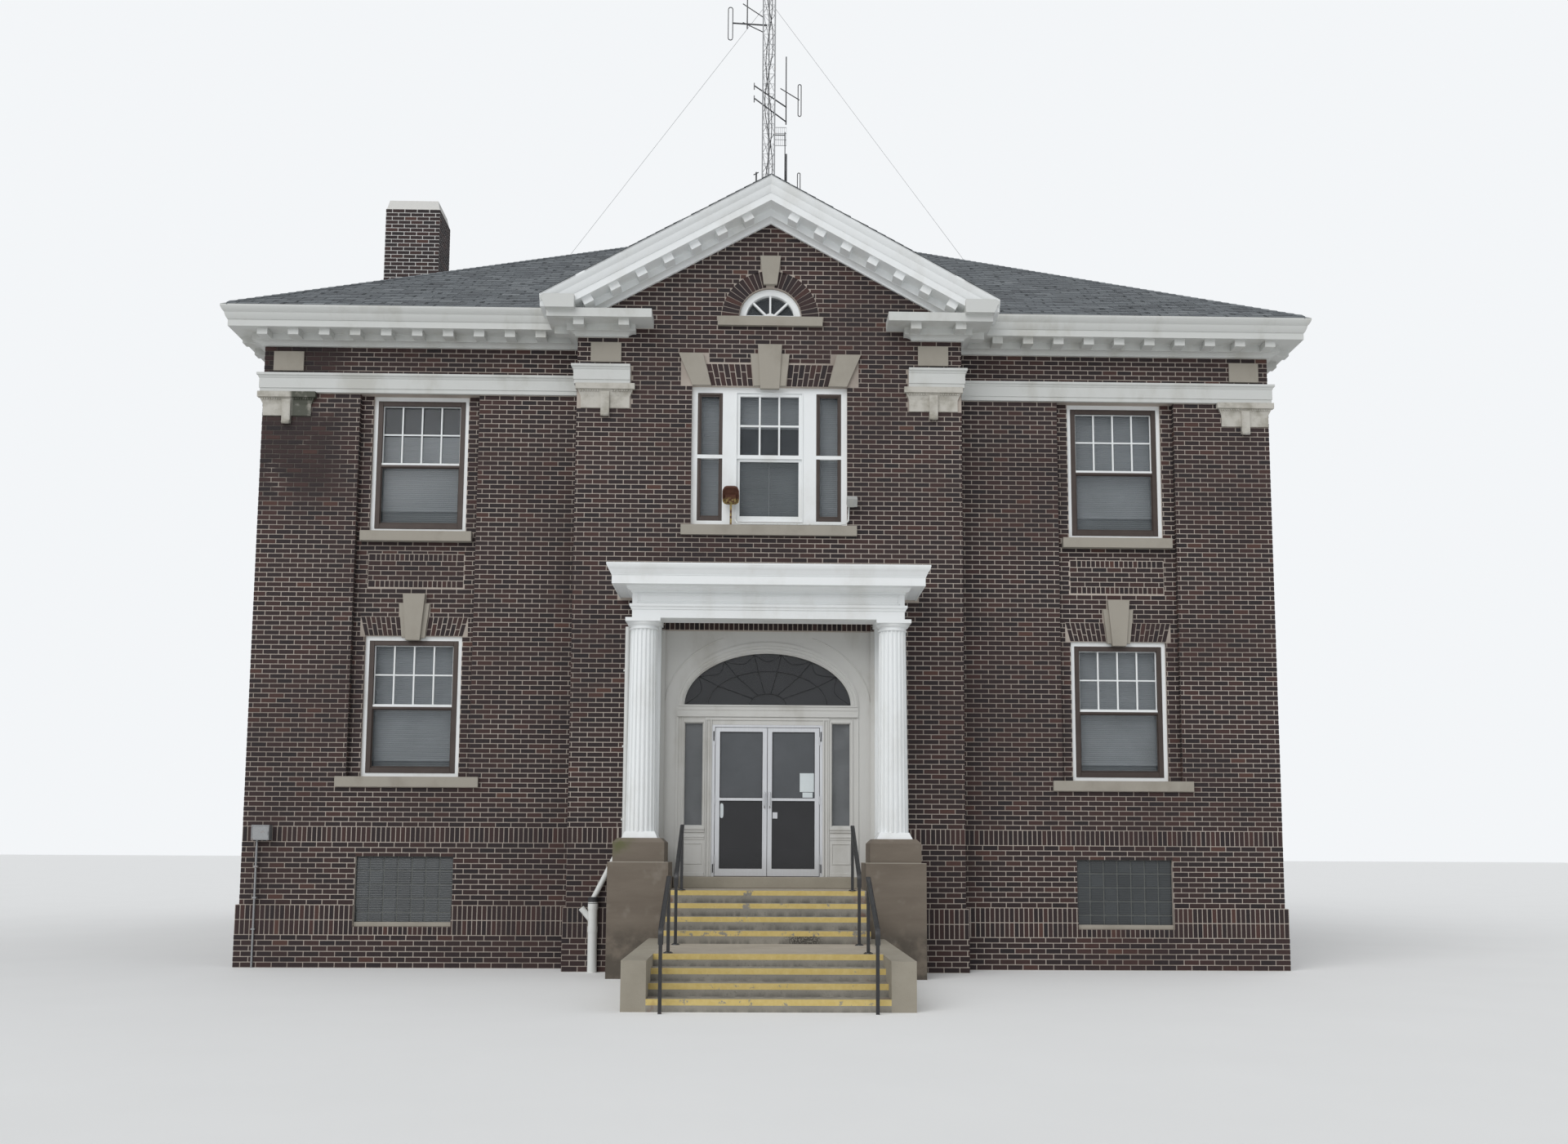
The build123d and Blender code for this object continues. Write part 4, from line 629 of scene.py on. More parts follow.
def ridge_caps(start, end, left_down, right_down, half=0.13, pitch=0.14):
    """Folded caps along a ridge line: each has two wings falling away to both sides, thick at the low end."""
    start, end, left_down, right_down = (np.asarray(v, float) for v in (start, end, left_down, right_down))
    length = np.linalg.norm(end - start)
    along = (end - start) / length
    i = np.arange(int(length / pitch))[:, None, None]
    section = np.stack([left_down * half, np.zeros(3), right_down * half])
    up = np.array([0.0, 0.0, 1.0])
    near = start + i * pitch * along + section
    far = near + along * (pitch * 1.02)
    corners = np.concatenate([near - 0.01 * up, near + 0.026 * up, far - 0.01 * up, far + 0.016 * up], 1)
    shape = np.array([[3, 4, 10, 9], [4, 5, 11, 10], [0, 1, 4, 3], [1, 2, 5, 4], [0, 3, 9, 6], [2, 8, 11, 5],
                      [6, 9, 10, 7], [7, 10, 11, 8]])
    return corners.reshape(-1, 3), (i * 12 + shape).reshape(-1, 4).tolist()


ridge_front, ridge_back = (0, 7.65, 15.2005), (0, 9.15, 15.2005)
cap_lines = [(ridge_front, ridge_back, (-climb[0], 0, -climb[1]), (climb[0], 0, -climb[1])),
             ((0, -0.98, 11.6), (0, 2.2, 11.6), (-fold[0], 0, -fold[1]), (fold[0], 0, -fold[1]))]
for sx in (-1, 1):
    for sy, corner_y, tip in ((-1, front_y, ridge_front), (1, rear_y, ridge_back)):
        foot = (sx * (eave_x - cap_inset), corner_y - sy * cap_inset, eave_z + cap_inset * roof_slope)
        wings = [(0.0, sy * climb[0], -climb[1]), (sx * climb[0], 0.0, -climb[1])]
        cap_lines.append((foot, tip, *wings[::-1 if sx * sy > 0 else 1]))
varied("ridge_caps", [ridge_caps(*line) for line in cap_lines], shingle, 26, 2.2, 2.6, sides=8)

# Painted wood: the cornices, the band, the pier capitals, the portico and the entrance surround.
# Boards and mouldings are nailed up in lengths and painted off-white.
# Joints open a little, and the paint greys in patches and cracks.


def paint_look(clean, dirty):
    """The look of off-white paint with faint brush marks, dirt in patches and a few open cracks."""
    def look(place):
        dirt = place.stretched(1.0, 1.0, 0.5).noise(1.7, 5.0, 0.6)
        marks = place.stretched(1.0, 1.0, 14.0).noise(22, 2.0)
        colour = (dirt.band(0.48, 0.72) * 0.5).toward(clean, dirty)
        speck = place.noise(34, 6.0, 0.7).band(0.69, 0.76)
        colour = (speck * 0.55).toward(colour, (0.28, 0.26, 0.22))
        return colour, 0.55 + marks * 0.15, marks * 0.4 + dirt * 0.6, 0.0012
    return look


def worn_paint_look(place):
    """The capitals' paint: grey and streaked, and dark with moss on the right of the outer left capital."""
    dirt = place.noise(4.0, 5.0, 0.65)
    colour = dirt.band(0.4, 0.7).toward((0.52, 0.50, 0.45), (0.34, 0.32, 0.27))
    moss = place.noise(9.0, 5.0, 0.7).band(0.60, 0.72)
    colour = (moss * 0.4).toward(colour, (0.14, 0.15, 0.10))
    across = place.axis("X")
    under_leak = across.band(-7.245, -7.18) * across.band(-6.3, -6.4) * place.noise(5.0, 4.0).band(0.2, 0.45)
    colour = (under_leak * 0.93).toward(colour, (0.040, 0.045, 0.030))
    return colour, 0.75, dirt, 0.003


white_paint = finish("white_house_paint", paint_look((0.60, 0.61, 0.59), (0.40, 0.39, 0.34)))
bright_paint = finish("bright_house_paint", paint_look((0.84, 0.86, 0.86), (0.68, 0.68, 0.65)))
# The entrance surround gets a darker copy of the off-white paint: painted shade for its place under the porch
# roof.
porch_shade_paint = finish("porch_shade_house_paint", paint_look((0.60, 0.595, 0.57), (0.40, 0.385, 0.34)))
worn_paint = finish("worn_house_paint", worn_paint_look)
dress(white_paint, "cornice_front", "cornice_returns", "cornice_sides", "cornice_back", "architrave_band")
dress(bright_paint, "pediment_rakes", "column_left", "column_right", "portico_pilasters",
      "portico_entablature", "window_frames", "lunette_window")
dress(porch_shade_paint, "entrance_surround")
dress(worn_paint, "pier_capitals")


def skin(rings, sides):
    """Faces of a closed shape from rings of corners in a row: the bands between them and both ends."""
    faces = []
    for first in range(0, sides * (rings - 1), sides):
        for n in range(sides):
            after = (n + 1) % sides
            faces.append([first + n, first + after, first + sides + after, first + sides + n])
    return faces + [list(range(sides))[::-1], [sides * (rings - 1) + n for n in range(sides)]]


def unit(vectors):
    """Vectors brought to length one."""
    return vectors / np.linalg.norm(vectors, axis=-1, keepdims=True)


def circle(sides):
    """Cosines and sines of evenly spaced angles, ready to scale two directions."""
    turn = np.arange(sides) * 2 * np.pi / sides
    return np.cos(turn)[None, :, None], np.sin(turn)[None, :, None]


def tube(points, radius, sides=8):
    """A round bar along a line of points: rings of corners square to the mean direction at each point."""
    points = np.asarray(points, float)
    ahead = unit(np.diff(points, axis=0))
    along = unit(np.concatenate([ahead[:1], ahead[:-1] + ahead[1:], ahead[-1:]]))
    helper = np.array([0.0, 0.0, 1.0]) if abs(ahead[:, 2]).max() < 0.9 else np.array([0.31, 0.95, 0.02])
    one = unit(np.cross(along, helper))
    two = np.cross(along, one)
    cosine, sine = circle(sides)
    rings = points[:, None] + radius * (cosine * one[:, None] + sine * two[:, None])
    return rings.reshape(-1, 3), skin(len(points), sides)


def lathe(profile, centre, axis=(0, 0, 1), start=(1, 0, 0), sides=24):
    """A turned shape: points of radius and height, spun about an axis through a centre, with flat ends."""
    axis = np.asarray(axis, float)
    one = unit(np.cross(axis, start))
    two = np.cross(axis, one)
    cosine, sine = circle(sides)
    profile = np.asarray(profile, float)
    rings = (np.asarray(centre, float) + profile[:, 1, None, None] * axis
             + profile[:, 0, None, None] * (cosine * one + sine * two))
    return rings.reshape(-1, 3), skin(len(profile), sides)


def eased_faces():
    """The 26 faces of an eased box: 6 sides, 12 edges and 8 corners.

    Its corner 8 a + o lies on a side square to axis a, in the octant o = 4 x + 2 y + z of the limits.
    """
    faces = []
    for axis in range(3):
        second, third = (axis + 1) % 3, (axis + 2) % 3
        here, b, c = 4 >> axis, 4 >> second, 4 >> third
        for value in (0, 1):
            ring = [8 * axis + value * here + p * b + q * c for p, q in ((0, 0), (1, 0), (1, 1), (0, 1))]
            faces.append(ring if value else ring[::-1])
        for p, q in ((0, 0), (0, 1), (1, 0), (1, 1)):
            one, other = 8 * second + p * b + q * c, 8 * third + p * b + q * c
            ring = [one, one + here, other + here, other]
            faces.append(ring if p == q else ring[::-1])
    for octant in range(8):
        ring = [octant, 8 + octant, 16 + octant]
        faces.append(ring if bin(octant).count("1") % 2 else ring[::-1])
    return faces


board_faces = eased_faces()
octants = np.array([[a, b, c] for a in (0, 1) for b in (0, 1) for c in (0, 1)])


def board(x, y, z, ease=0.003):
    """A board from its limits on the three axes, with all edges eased."""
    low, high = (np.array([limit(side) for side in (x, y, z)], float) for limit in (min, max))
    ease = min(ease, 0.3 * (high - low).min())
    corners = []
    for axis in range(3):
        corner = np.where(octants == 1, high - ease, low + ease)
        corner[:, axis] = np.where(octants[:, axis] == 1, high[axis], low[axis])
        corners.append(corner)
    return np.concatenate(corners), board_faces


# Beads of painted wood under the capitals' tops, and a scroll at the foot of each pendant.
# Both are turned, laid along the wall and pinned into the hollow under the top.
bead_z, scroll_z, bead_pitch, bead_end, pendant_half = 8.462, 8.105, 0.036, 0.36, 0.075
bead_profile = [(0.004, -0.013), (0.012, -0.008), (0.015, 0.0), (0.012, 0.008), (0.004, 0.013)]
scroll_profile = [(0.004, -0.062), (0.028, -0.06), (0.032, 0.0), (0.028, 0.06), (0.004, 0.062)]
beads = []
for x, y in ((-7.28, 0.0), (7.28, 0.0), (-2.43, bay_y), (2.43, bay_y)):
    beads += [lathe(bead_profile, (x + offset, y - 0.048, bead_z), (1, 0, 0), (0, 0, 1), 8)
              for offset in np.arange(-bead_end, bead_end + 0.001, bead_pitch) if abs(offset) >= pendant_half]
    beads.append(lathe(scroll_profile, (x, y - 0.046, scroll_z), (1, 0, 0), (0, 0, 1), 12))
joined("capital_beads", beads, worn_paint, smooth=True, turned=True)

# The portico's entablature, of painted wood: a beam over the columns, a band, a plain frieze with a sunk
# panel, and a cornice of bed mould, cove, corona and crown, mitred at both front corners.
porch_half, porch_front, beam = 1.9, bay_y - 0.8, 0.38
beam_z, porch_frieze_low, porch_frieze_high, porch_top = 4.93, 5.12, 5.33, 5.64


def swept(profile, path, outward):
    """A closed moulding along a path of corners: its profile gives the reach outward and the height."""
    rings = [(*(np.asarray(spot) + reach * np.asarray(way)), z)
             for spot, way in zip(path, outward) for reach, z in profile]
    return rings, skin(len(path), len(profile))


def curve(start, through, end, steps=5):
    """Points of a round stretch of a profile: the parabola with parameter t that passes through all three."""
    t = np.linspace(0, 1, steps)[:, None]
    start, through, end = (np.asarray(v, float) for v in (start, through, end))
    control = 2 * through - (start + end) / 2
    return ((1 - t)**2 * start + 2 * t * (1 - t) * control + t**2 * end).tolist()


def at_level(profile, level):
    """A profile with its heights counted from a level."""
    return [(reach, level + z) for reach, z in profile]


porch_path = [(-porch_half, bay_y), (-porch_half, porch_front),
              (porch_half, porch_front), (porch_half, bay_y)]
porch_ways = [(-1, 0), (-1, -1), (1, -1), (1, 0)]
band = [(-0.01, -0.070), (0.012, -0.070), (0.016, -0.045),
        *curve((0.018, -0.040), (0.034, -0.030), (0.036, -0.012)), (0.036, 0.004), (-0.01, 0.004)]
crown = [(-0.01, -0.045), (0.014, -0.045), (0.014, -0.022),
         *curve((0.020, -0.022), (0.048, -0.010), (0.060, 0.0)),
         *curve((0.066, 0.004), (0.074, 0.028), (0.100, 0.040), 6),
         (0.245, 0.040), (0.245, 0.028), (0.260, 0.028), (0.260, 0.150), (0.268, 0.150), (0.268, 0.165),
         *curve((0.272, 0.165), (0.284, 0.190), (0.297, 0.215)),
         *curve((0.299, 0.220), (0.318, 0.250), (0.328, 0.280)),
         (0.330, 0.282), (0.330, 0.310), (-0.01, 0.310)]
entablature = [board(x, y, z, 0.004) for x, y, z in (
    ((-porch_half, porch_half), (porch_front, porch_front + beam), (beam_z, porch_frieze_low)),
    ((-porch_half, porch_half), (porch_front, bay_y), (porch_frieze_low, porch_frieze_high)),
    ((-porch_half, porch_half), (porch_front, bay_y), (porch_frieze_high, porch_top - 0.002)),
    ((-porch_half, beam - porch_half), (porch_front + beam, bay_y), (beam_z, porch_frieze_low)),
    ((porch_half - beam, porch_half), (porch_front + beam, bay_y), (beam_z, porch_frieze_low)))]
entablature.append(swept(at_level(band, porch_frieze_low), porch_path, porch_ways))
entablature.append(swept(at_level(crown, porch_frieze_high), porch_path, porch_ways))
panel_middle, panel_strip = (porch_frieze_low + porch_frieze_high - 0.03) / 2, 0.010
for extra in (0.0, 0.024):
    half, tall = porch_half - 0.07 - extra, 0.070 - extra
    for x0, x1, z0, z1 in ((-half, half, tall - panel_strip, tall), (-half, half, -tall, panel_strip - tall),
                           (-half, panel_strip - half, -tall, tall), (half - panel_strip, half, -tall, tall)):
        entablature.append(board((x0, x1), (porch_front - 0.006, porch_front + 0.002),
                                 (panel_middle + z0, panel_middle + z1), 0.002))
entablature_piece = joined("entablature_and_cornice", entablature, bright_paint, turned=True)
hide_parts("portico_entablature")

# Windows: double-hung wooden sashes, eight lights over one, behind storm windows of brown aluminium.
# Pale slatted blinds hang closed behind most of the glass. The middle window of the bay has three sashes:
# a wide one of six lights over one without a storm window, between two narrow ones.
glass_half, storm_half, set_back, white_face = 0.635, 0.660, 0.14, 0.085
slat_pitch, slat_depth, fine_pitch = 0.03, 0.006, 0.028


def glass_look(place):
    """Old window glass, dark, with a greenish grey bloom of dust in patches."""
    dust = place.noise(2.4, 4.0)
    colour = dust.band(0.3, 0.8).toward((0.070, 0.080, 0.090), (0.115, 0.130, 0.145))
    return colour, 0.06 + dust * 0.05, place.noise(0.8, 1.0), 0.002


def brown_look(place):
    """Baked brown enamel on aluminium, a little chalky."""
    chalk = place.noise(6.0, 4.0)
    return chalk.toward((0.034, 0.023, 0.019), (0.070, 0.052, 0.044)), 0.5, place.noise(90, 2.0), 0.0004


def blind_look(place):
    """Off-white enamelled slats, grey with dust."""
    dust = place.stretched(1.0, 1.0, 4.0).noise(3.0, 3.0)
    return dust.toward((0.60, 0.65, 0.67), (0.76, 0.81, 0.83)), 0.6, place.noise(140, 2.0), 0.0003


def dim_blind_look(place):
    """The same slats in the shade, further back behind the glass."""
    return place.noise(2.0, 3.0).toward((0.26, 0.29, 0.29), (0.38, 0.42, 0.42)), 0.6, None, 0


window_pane = finish("window_pane", glass_look, alpha=0.34)
brown_enamel = finish("brown_enamel", brown_look, metallic=0.3)
blind_slats = finish("blind_slats", blind_look)
dim_slats = finish("dim_slats", dim_blind_look)
dress(window_pane, "window_glass")


def moved(shapes, x, y=0.0, degrees=0):
    """Shapes made about the front wall's axes, turned about Z and moved to their place."""
    a = np.radians(degrees)
    turn = np.array([[np.cos(a), -np.sin(a), 0], [np.sin(a), np.cos(a), 0], [0, 0, 1]])
    return [(np.asarray(points, float) @ turn.T + (x, y, 0), faces) for points, faces in shapes]


def frame_boards(half, low, high, face, y0, y1, foot=None):
    """Four boards that frame a rectangle, inside its limits, between two depths; the lowest foot high."""
    inner = half - face
    return [board(x, (y0, y1), z) for x, z in (
        ((-half, -inner), (low, high)), ((inner, half), (low, high)), ((-inner, inner), (high - face, high)),
        ((-inner, inner), (low, low + (foot or face))))]


def slats(half, low, high, y, pitch=slat_pitch):
    """Closed blind slats: a zigzag sheet with one crease forward and one back for every slat."""
    creases = 2 * int((high - low) / pitch) + 1
    z = np.linspace(low, high, creases)
    wave = y + slat_depth * (np.arange(creases) % 2)
    corners = np.stack([np.stack([np.full_like(z, end), wave, z], -1) for end in (-half, half)], 1)
    return corners, [[2 * i, 2 * i + 1, 2 * i + 3, 2 * i + 2] for i in range(creases - 1)]


every_stand = [(-window_x, 0.0, 0), (window_x, 0.0, 0), *((wing_half, c, 90) for c in side_centres),
               *((-wing_half, c, -90) for c in side_centres), *((c, depth, 180) for c in back_centres)]
storms, sashes, blinds, dim_blinds = [], [], [], []
for row, (low, high) in enumerate(window_rows):
    foot, head = low + white_face, high - white_face
    middle_z = (foot + head) / 2
    storm = frame_boards(storm_half, foot - 0.022, head + 0.018, 0.072, set_back - 0.010, set_back + 0.026,
                         0.080)
    storm.append(board((0.03 - glass_half, glass_half - 0.03), (set_back - 0.008, set_back + 0.024),
                       (middle_z - 0.040, middle_z - 0.006)))
    storm += frame_boards(glass_half - 0.043, foot + 0.06, middle_z - 0.036, 0.018, set_back + 0.010,
                          set_back + 0.024)
    upper_low, upper_high = middle_z + 0.006, head - 0.045
    upper_bar = (upper_low + upper_high) / 2 + 0.01
    sash = [board((x - 0.012, x + 0.012), (set_back + 0.030, set_back + 0.052), (upper_low, upper_high))
            for x in (0.045 - glass_half) * np.array([0.5, 0.0, -0.5])]
    sash.append(board((0.04 - glass_half, glass_half - 0.04), (set_back + 0.031, set_back + 0.051),
                      (upper_bar - 0.011, upper_bar + 0.011)))
    sash += frame_boards(glass_half - 0.04, upper_low, upper_high + 0.004, 0.020, set_back + 0.028,
                         set_back + 0.053, 0.03)
    for number, stand in enumerate(every_stand):
        storms += moved(storm, *stand)
        sashes += moved(sash, *stand)
        top = head - 0.02 if row == 0 or number > 0 else upper_bar + 0.01
        end = foot + (0.31 if row == 1 else 0.19) if number < 2 else foot + 0.02
        if number < 2:
            dim_blinds += moved([slats(glass_half - 0.01, foot, end, set_back + 0.18)], *stand)
        blinds += moved([slats(glass_half - 0.01, end, top, set_back + 0.16),
                         board((0.01 - glass_half, glass_half - 0.01), (set_back + 0.152, set_back + 0.172),
                               (end - 0.025, end))], *stand)

# The bay's middle window keeps the heights of the upper row, which the loop above ends with.
bay_glass, side_middle, side_half, centre_half, centre_bar = bay_y + 0.06, 0.87975, 0.18525, 0.4795, 0.014
for side in (-1, 1):
    shapes = frame_boards(side_half, foot, head, 0.035, bay_glass + 0.004, bay_glass + 0.03, 0.06)
    inner_half = side_half - 0.034
    shapes += frame_boards(inner_half, foot + 0.06, middle_z, 0.02, bay_glass + 0.010, bay_glass + 0.028)
    shapes += frame_boards(inner_half, middle_z, head - 0.035, 0.02, bay_glass + 0.014, bay_glass + 0.032)
    storms += moved(shapes, side * side_middle)
    blinds += moved([slats(side_half - 0.01, foot, head, bay_glass + 0.16)], side * side_middle)
sashes += frame_boards(centre_half, middle_z - 0.02, head, 0.045, bay_glass + 0.012, bay_glass + 0.052, 0.05)
sashes += frame_boards(centre_half, foot, middle_z - 0.02, 0.045, bay_glass + 0.030, bay_glass + 0.053, 0.08)
for side in (-1, 1):
    x = side * (centre_half - 0.045) / 3
    sashes.append(board((x - centre_bar, x + centre_bar), (bay_glass + 0.020, bay_glass + 0.052),
                        (middle_z + 0.02, head - 0.04)))
cross_bar = (middle_z + 0.03 + head - 0.045) / 2
sashes.append(board((0.04 - centre_half, centre_half - 0.04), (bay_glass + 0.021, bay_glass + 0.051),
                    (cross_bar - centre_bar, cross_bar + centre_bar)))
sashes += frame_boards(0.5, foot - 0.02, head + 0.02, 0.018, bay_glass - 0.012, bay_glass + 0.01)
sashes.append(tube([(0.0, bay_glass + 0.150, foot), (0.0, bay_glass + 0.150, middle_z)], 0.004, 5))
dim_blinds.append(slats(centre_half - 0.02, foot, middle_z + 0.03, bay_glass + 0.16, fine_pitch))
blinds.append(slats(centre_half - 0.02, cross_bar, head, bay_glass + 0.162, fine_pitch))
joined("storm_windows", storms, brown_enamel)
joined("window_sashes", sashes, bright_paint)
joined("window_blinds", blinds, blind_slats)
joined("dim_blinds", dim_blinds, dim_slats)

# The lunette: a half ring of wood with a hub, three spokes and a moulded edge, under its own brick arch.
# The two round mouldings are bent to half circles and nailed to the ring, and end flat on the sill.
lunette_trim = []
arc = np.linspace(0.0, np.pi, 25)
for radius, thick in ((0.452, 0.012), (0.372, 0.009)):
    height = np.maximum(lunette_z + radius * np.sin(arc), lunette_z + thick)
    points = np.stack([radius * np.cos(arc), np.full_like(arc, bay_y + 0.056), height], -1)
    lunette_trim.append(tube(points, thick))
joined("lunette_mouldings", lunette_trim, bright_paint, smooth=True, turned=True)

# Sawn limestone: sills, keystones, skewbacks and frieze tablets, set in the brickwork as it went up.
# The stone is warm grey, with grey-brown stains.


def limestone_look(place):
    """Smooth sawn stone with faint bedding, a sandy grain and grey-brown stains."""
    stain = place.stretched(1.0, 1.0, 0.6).noise(2.3, 5.0, 0.6)
    grain = place.noise(210, 2.0)
    colour = (stain.band(0.45, 0.75) * 0.55).toward((0.335, 0.308, 0.262), (0.215, 0.192, 0.155))
    colour = (grain * 0.25).toward(colour, (0.45, 0.42, 0.36))
    return colour, 0.85, grain * 0.5 + stain, 0.0012


limestone = finish("sawn_limestone", limestone_look)
dress(limestone, "window_sills", "keystones", "frieze_tablets")

# Glass blocks in the basement windows: pressed glass, 203 mm square, ribbed, over a stone sill.
# They are laid in mortar seven wide and five high, each with a raised face and a smaller one on it.
block, block_low, sill_z = 0.203, 0.59, 0.5905


def glass_block_look(place):
    """Pressed glass, pale green-grey, waved up and down, with darker and lighter blocks."""
    cloud = place.noise(2.2, 3.0)
    colour = (place.tone() * 0.35 + cloud * 0.65).toward((0.014, 0.017, 0.019), (0.048, 0.056, 0.060))
    wave = place.node("ShaderNodeTexWave", {"Vector": place, "Scale": 14.0, "Distortion": 1.5, "Detail": 1.0},
                      output=1, bands_direction="Z")
    return colour, 0.22, wave * 0.6 + cloud * 0.4, 0.004


def block_joint_look(place):
    """Grey mortar between the blocks."""
    return place.noise(40).toward((0.10, 0.105, 0.10), (0.17, 0.175, 0.165)), 0.95, None, 0


def block_squares(inset):
    """The squares of one window's blocks, each drawn in on all sides."""
    across, up = block * np.arange(7) - block_half, block_low + block * np.arange(5)
    u, v = (grid.ravel() for grid in np.meshgrid(across, up, indexing="ij"))
    return np.stack([u + inset, u + block - inset, v + inset, v + block - inset], -1)


pressed_glass = finish("pressed_glass", glass_block_look, coat=0.3)
dress(finish("block_joint", block_joint_look), "basement_glass_blocks")
sills, blocks = [], []
for x, y, degrees in every_stand:
    sills += moved([board((-block_half, block_half), (0.0, 0.061), (sill_z, 0.655), 0.006)], x, y, degrees)
    a = np.radians(degrees)
    across, out = np.array([np.cos(a), np.sin(a), 0]), np.array([np.sin(a), -np.cos(a), 0])
    base = (x, y, 0) - 0.06 * out
    for inset, lift, proud in ((0.006, 0.0, 0.005), (0.020, 0.005, 0.004)):
        blocks.append(brick_mesh(block_squares(inset), base + lift * out, across, upright, out, proud=proud))
one_window = np.repeat(np.random.default_rng(31).uniform(0, 1, len(block_squares(0.0))), 5)
joined("basement_sills", sills, limestone)
joined("glass_block_faces", blocks, pressed_glass,
       tones=np.tile(one_window, 2 * len(every_stand)))

# The entrance: two glazed doors of pale anodised aluminium in an aluminium frame, within the wooden surround.
# Each leaf has a black glazing gasket, a bent pull handle and pivots at its head and foot.
leaf_face, leaf_middle, leaf_glass_half = -0.475, 0.3765, 0.3095
door_low, door_high, bar_low, bar_high = 1.353, 3.483, 2.428, 2.470
sidelight_x, sidelight_half, surround_foot = 1.0625, 0.1425, 1.347


def aluminium_look(place):
    """Satin anodised aluminium, drawn lengthwise, dull and a little dirty at the foot."""
    drawn = place.stretched(30.0, 30.0, 1.0).noise(6.0, 3.0)
    foot = place.axis("Z").band(1.75, 1.35)
    colour = drawn.toward((0.50, 0.51, 0.53), (0.66, 0.67, 0.69))
    return (foot * 0.35).toward(colour, (0.30, 0.29, 0.27)), 0.34 + drawn * 0.1, drawn, 0.0003


def rubber_look(place):
    """Black glazing rubber, greyed."""
    return place.noise(12).toward((0.015, 0.015, 0.017), (0.05, 0.05, 0.052)), 0.7, place.noise(200), 0.0003


def door_glass_look(place):
    """Plate glass: above the bar it mirrors the pale street, below the bar the dark entry shows through."""
    cloud = place.noise(1.6, 4.0)
    low = cloud.toward((0.008, 0.008, 0.009), (0.030, 0.030, 0.034))
    high = cloud.toward((0.060, 0.066, 0.073), (0.125, 0.134, 0.145))
    return place.axis("Z").band(2.40, 2.50).toward(low, high), 0.05, place.noise(0.9), 0.001


def arch_glass_look(place):
    """Old clear glass in lead: dark in the arch, and paler in the sidelights under z = 3.6, from dust and a
    painted reflection of the pale street.
    """
    arch = place.noise(3.0, 4.0).toward((0.036, 0.038, 0.041), (0.066, 0.068, 0.074))
    # The sidelights' paler, streaky colour is partly dust and partly a painted reflection of the street.
    side = place.stretched(1.0, 1.0, 0.6).noise(5.0, 3.0).toward((0.085, 0.090, 0.096), (0.24, 0.25, 0.26))
    return place.axis("Z").band(3.70, 3.60).toward(arch, side), 0.12, place.noise(2.0), 0.002


aluminium = finish("anodised_aluminium", aluminium_look, metallic=0.55)
rubber = finish("black_rubber", rubber_look)
dress(aluminium, "door_frame", "door_left", "door_right")
dress(finish("door_plate_glass", door_glass_look, alpha=0.85), "door_glass_left", "door_glass_right")
dress(finish("arch_glass", arch_glass_look, alpha=0.60), "entrance_glass")
curtain = [slats(0.135, 2.065, 3.555, bay_y + 0.115, 0.09)]
joined("sidelight_curtains", moved(curtain, -sidelight_x) + moved(curtain, sidelight_x), blind_slats)
gasket = [shape for low, high in ((door_low + 0.102, bar_low + 0.003), (bar_high - 0.003, door_high - 0.057))
          for shape in frame_boards(leaf_glass_half, low, high, 0.010, leaf_face - 0.002, leaf_face + 0.012)]
joined("door_gaskets_left", moved(gasket, -leaf_middle), rubber, body="leaf_left")
joined("door_gaskets_right", moved(gasket, leaf_middle), rubber, body="leaf_right")

# Pivots: dark bronze blocks at the head and foot of each leaf's outer edge.
# They are screwed to the frame, which the leaf turns against.
joined("door_pivots", [board((side * 0.766, side * 0.782), (leaf_face - 0.012, leaf_face + 0.004), limits)
                       for side in (-1, 1) for limits in ((1.40, 1.52), (3.29, 3.43))], rubber)

# A bare paper notice behind the right leaf's glass with a small card under it, a bare oval plate on the left.
# They are stuck to the glass, and a small cover plate of aluminium is screwed to the right leaf's stile.


def paper_look(place):
    """Plain paper, faded and a little wavy, with nothing on it."""
    wave = place.noise(7.0)
    return wave.toward((0.62, 0.68, 0.70), (0.74, 0.79, 0.80)), 0.8, wave, 0.004


def sheet(u0, u1, v0, v1, y, bow, columns=6):
    """A thin bowed sheet, closed all round: its depth is y - bow * (1 - t squared) over t from -1 to 1."""
    t = np.linspace(-1, 1, columns + 1)
    u = (u0 + u1) / 2 + t * (u1 - u0) / 2
    face = y - bow * (1 - t**2)
    corners = np.stack([np.stack([u, face + back, np.full_like(u, z)], -1)
                        for z, back in ((v0, 0.0), (v1, 0.0), (v1, 0.001), (v0, 0.001))], 1)
    return corners, skin(columns + 1, 4)


def squared_circle(sides, power):
    """Points around a squared circle at even angles t: |cos t|^power and |sin t|^power with their signs."""
    t = np.arange(sides) * 2 * np.pi / sides
    pair = np.stack([np.cos(t), np.sin(t)], -1)
    return np.sign(pair) * np.abs(pair)**power


paper = finish("bare_paper", paper_look)
glass_plane = leaf_face + 0.016
joined("bare_notice", [sheet(0.47, 0.675, 2.56, 2.83, glass_plane - 0.0015, 0.0015),
                       sheet(0.51, 0.655, 2.478, 2.552, glass_plane - 0.0015, 0.001)],
       paper, body="leaf_right", turned=True)
oval = squared_circle(24, 0.6) * (0.026, 0.105) + (-0.652, 2.285)
oval = np.insert(oval, 1, glass_plane - 0.0005, axis=1)
joined("bare_oval_plate", [(np.concatenate([oval, oval - (0, 0.004, 0)]), skin(2, 24))],
       paper, body="leaf_left", turned=True)
joined("lock_plate", [board((0.078, 0.150), (glass_plane - 0.006, glass_plane - 0.0005), (2.175, 2.265))],
       aluminium, "leaf_right")

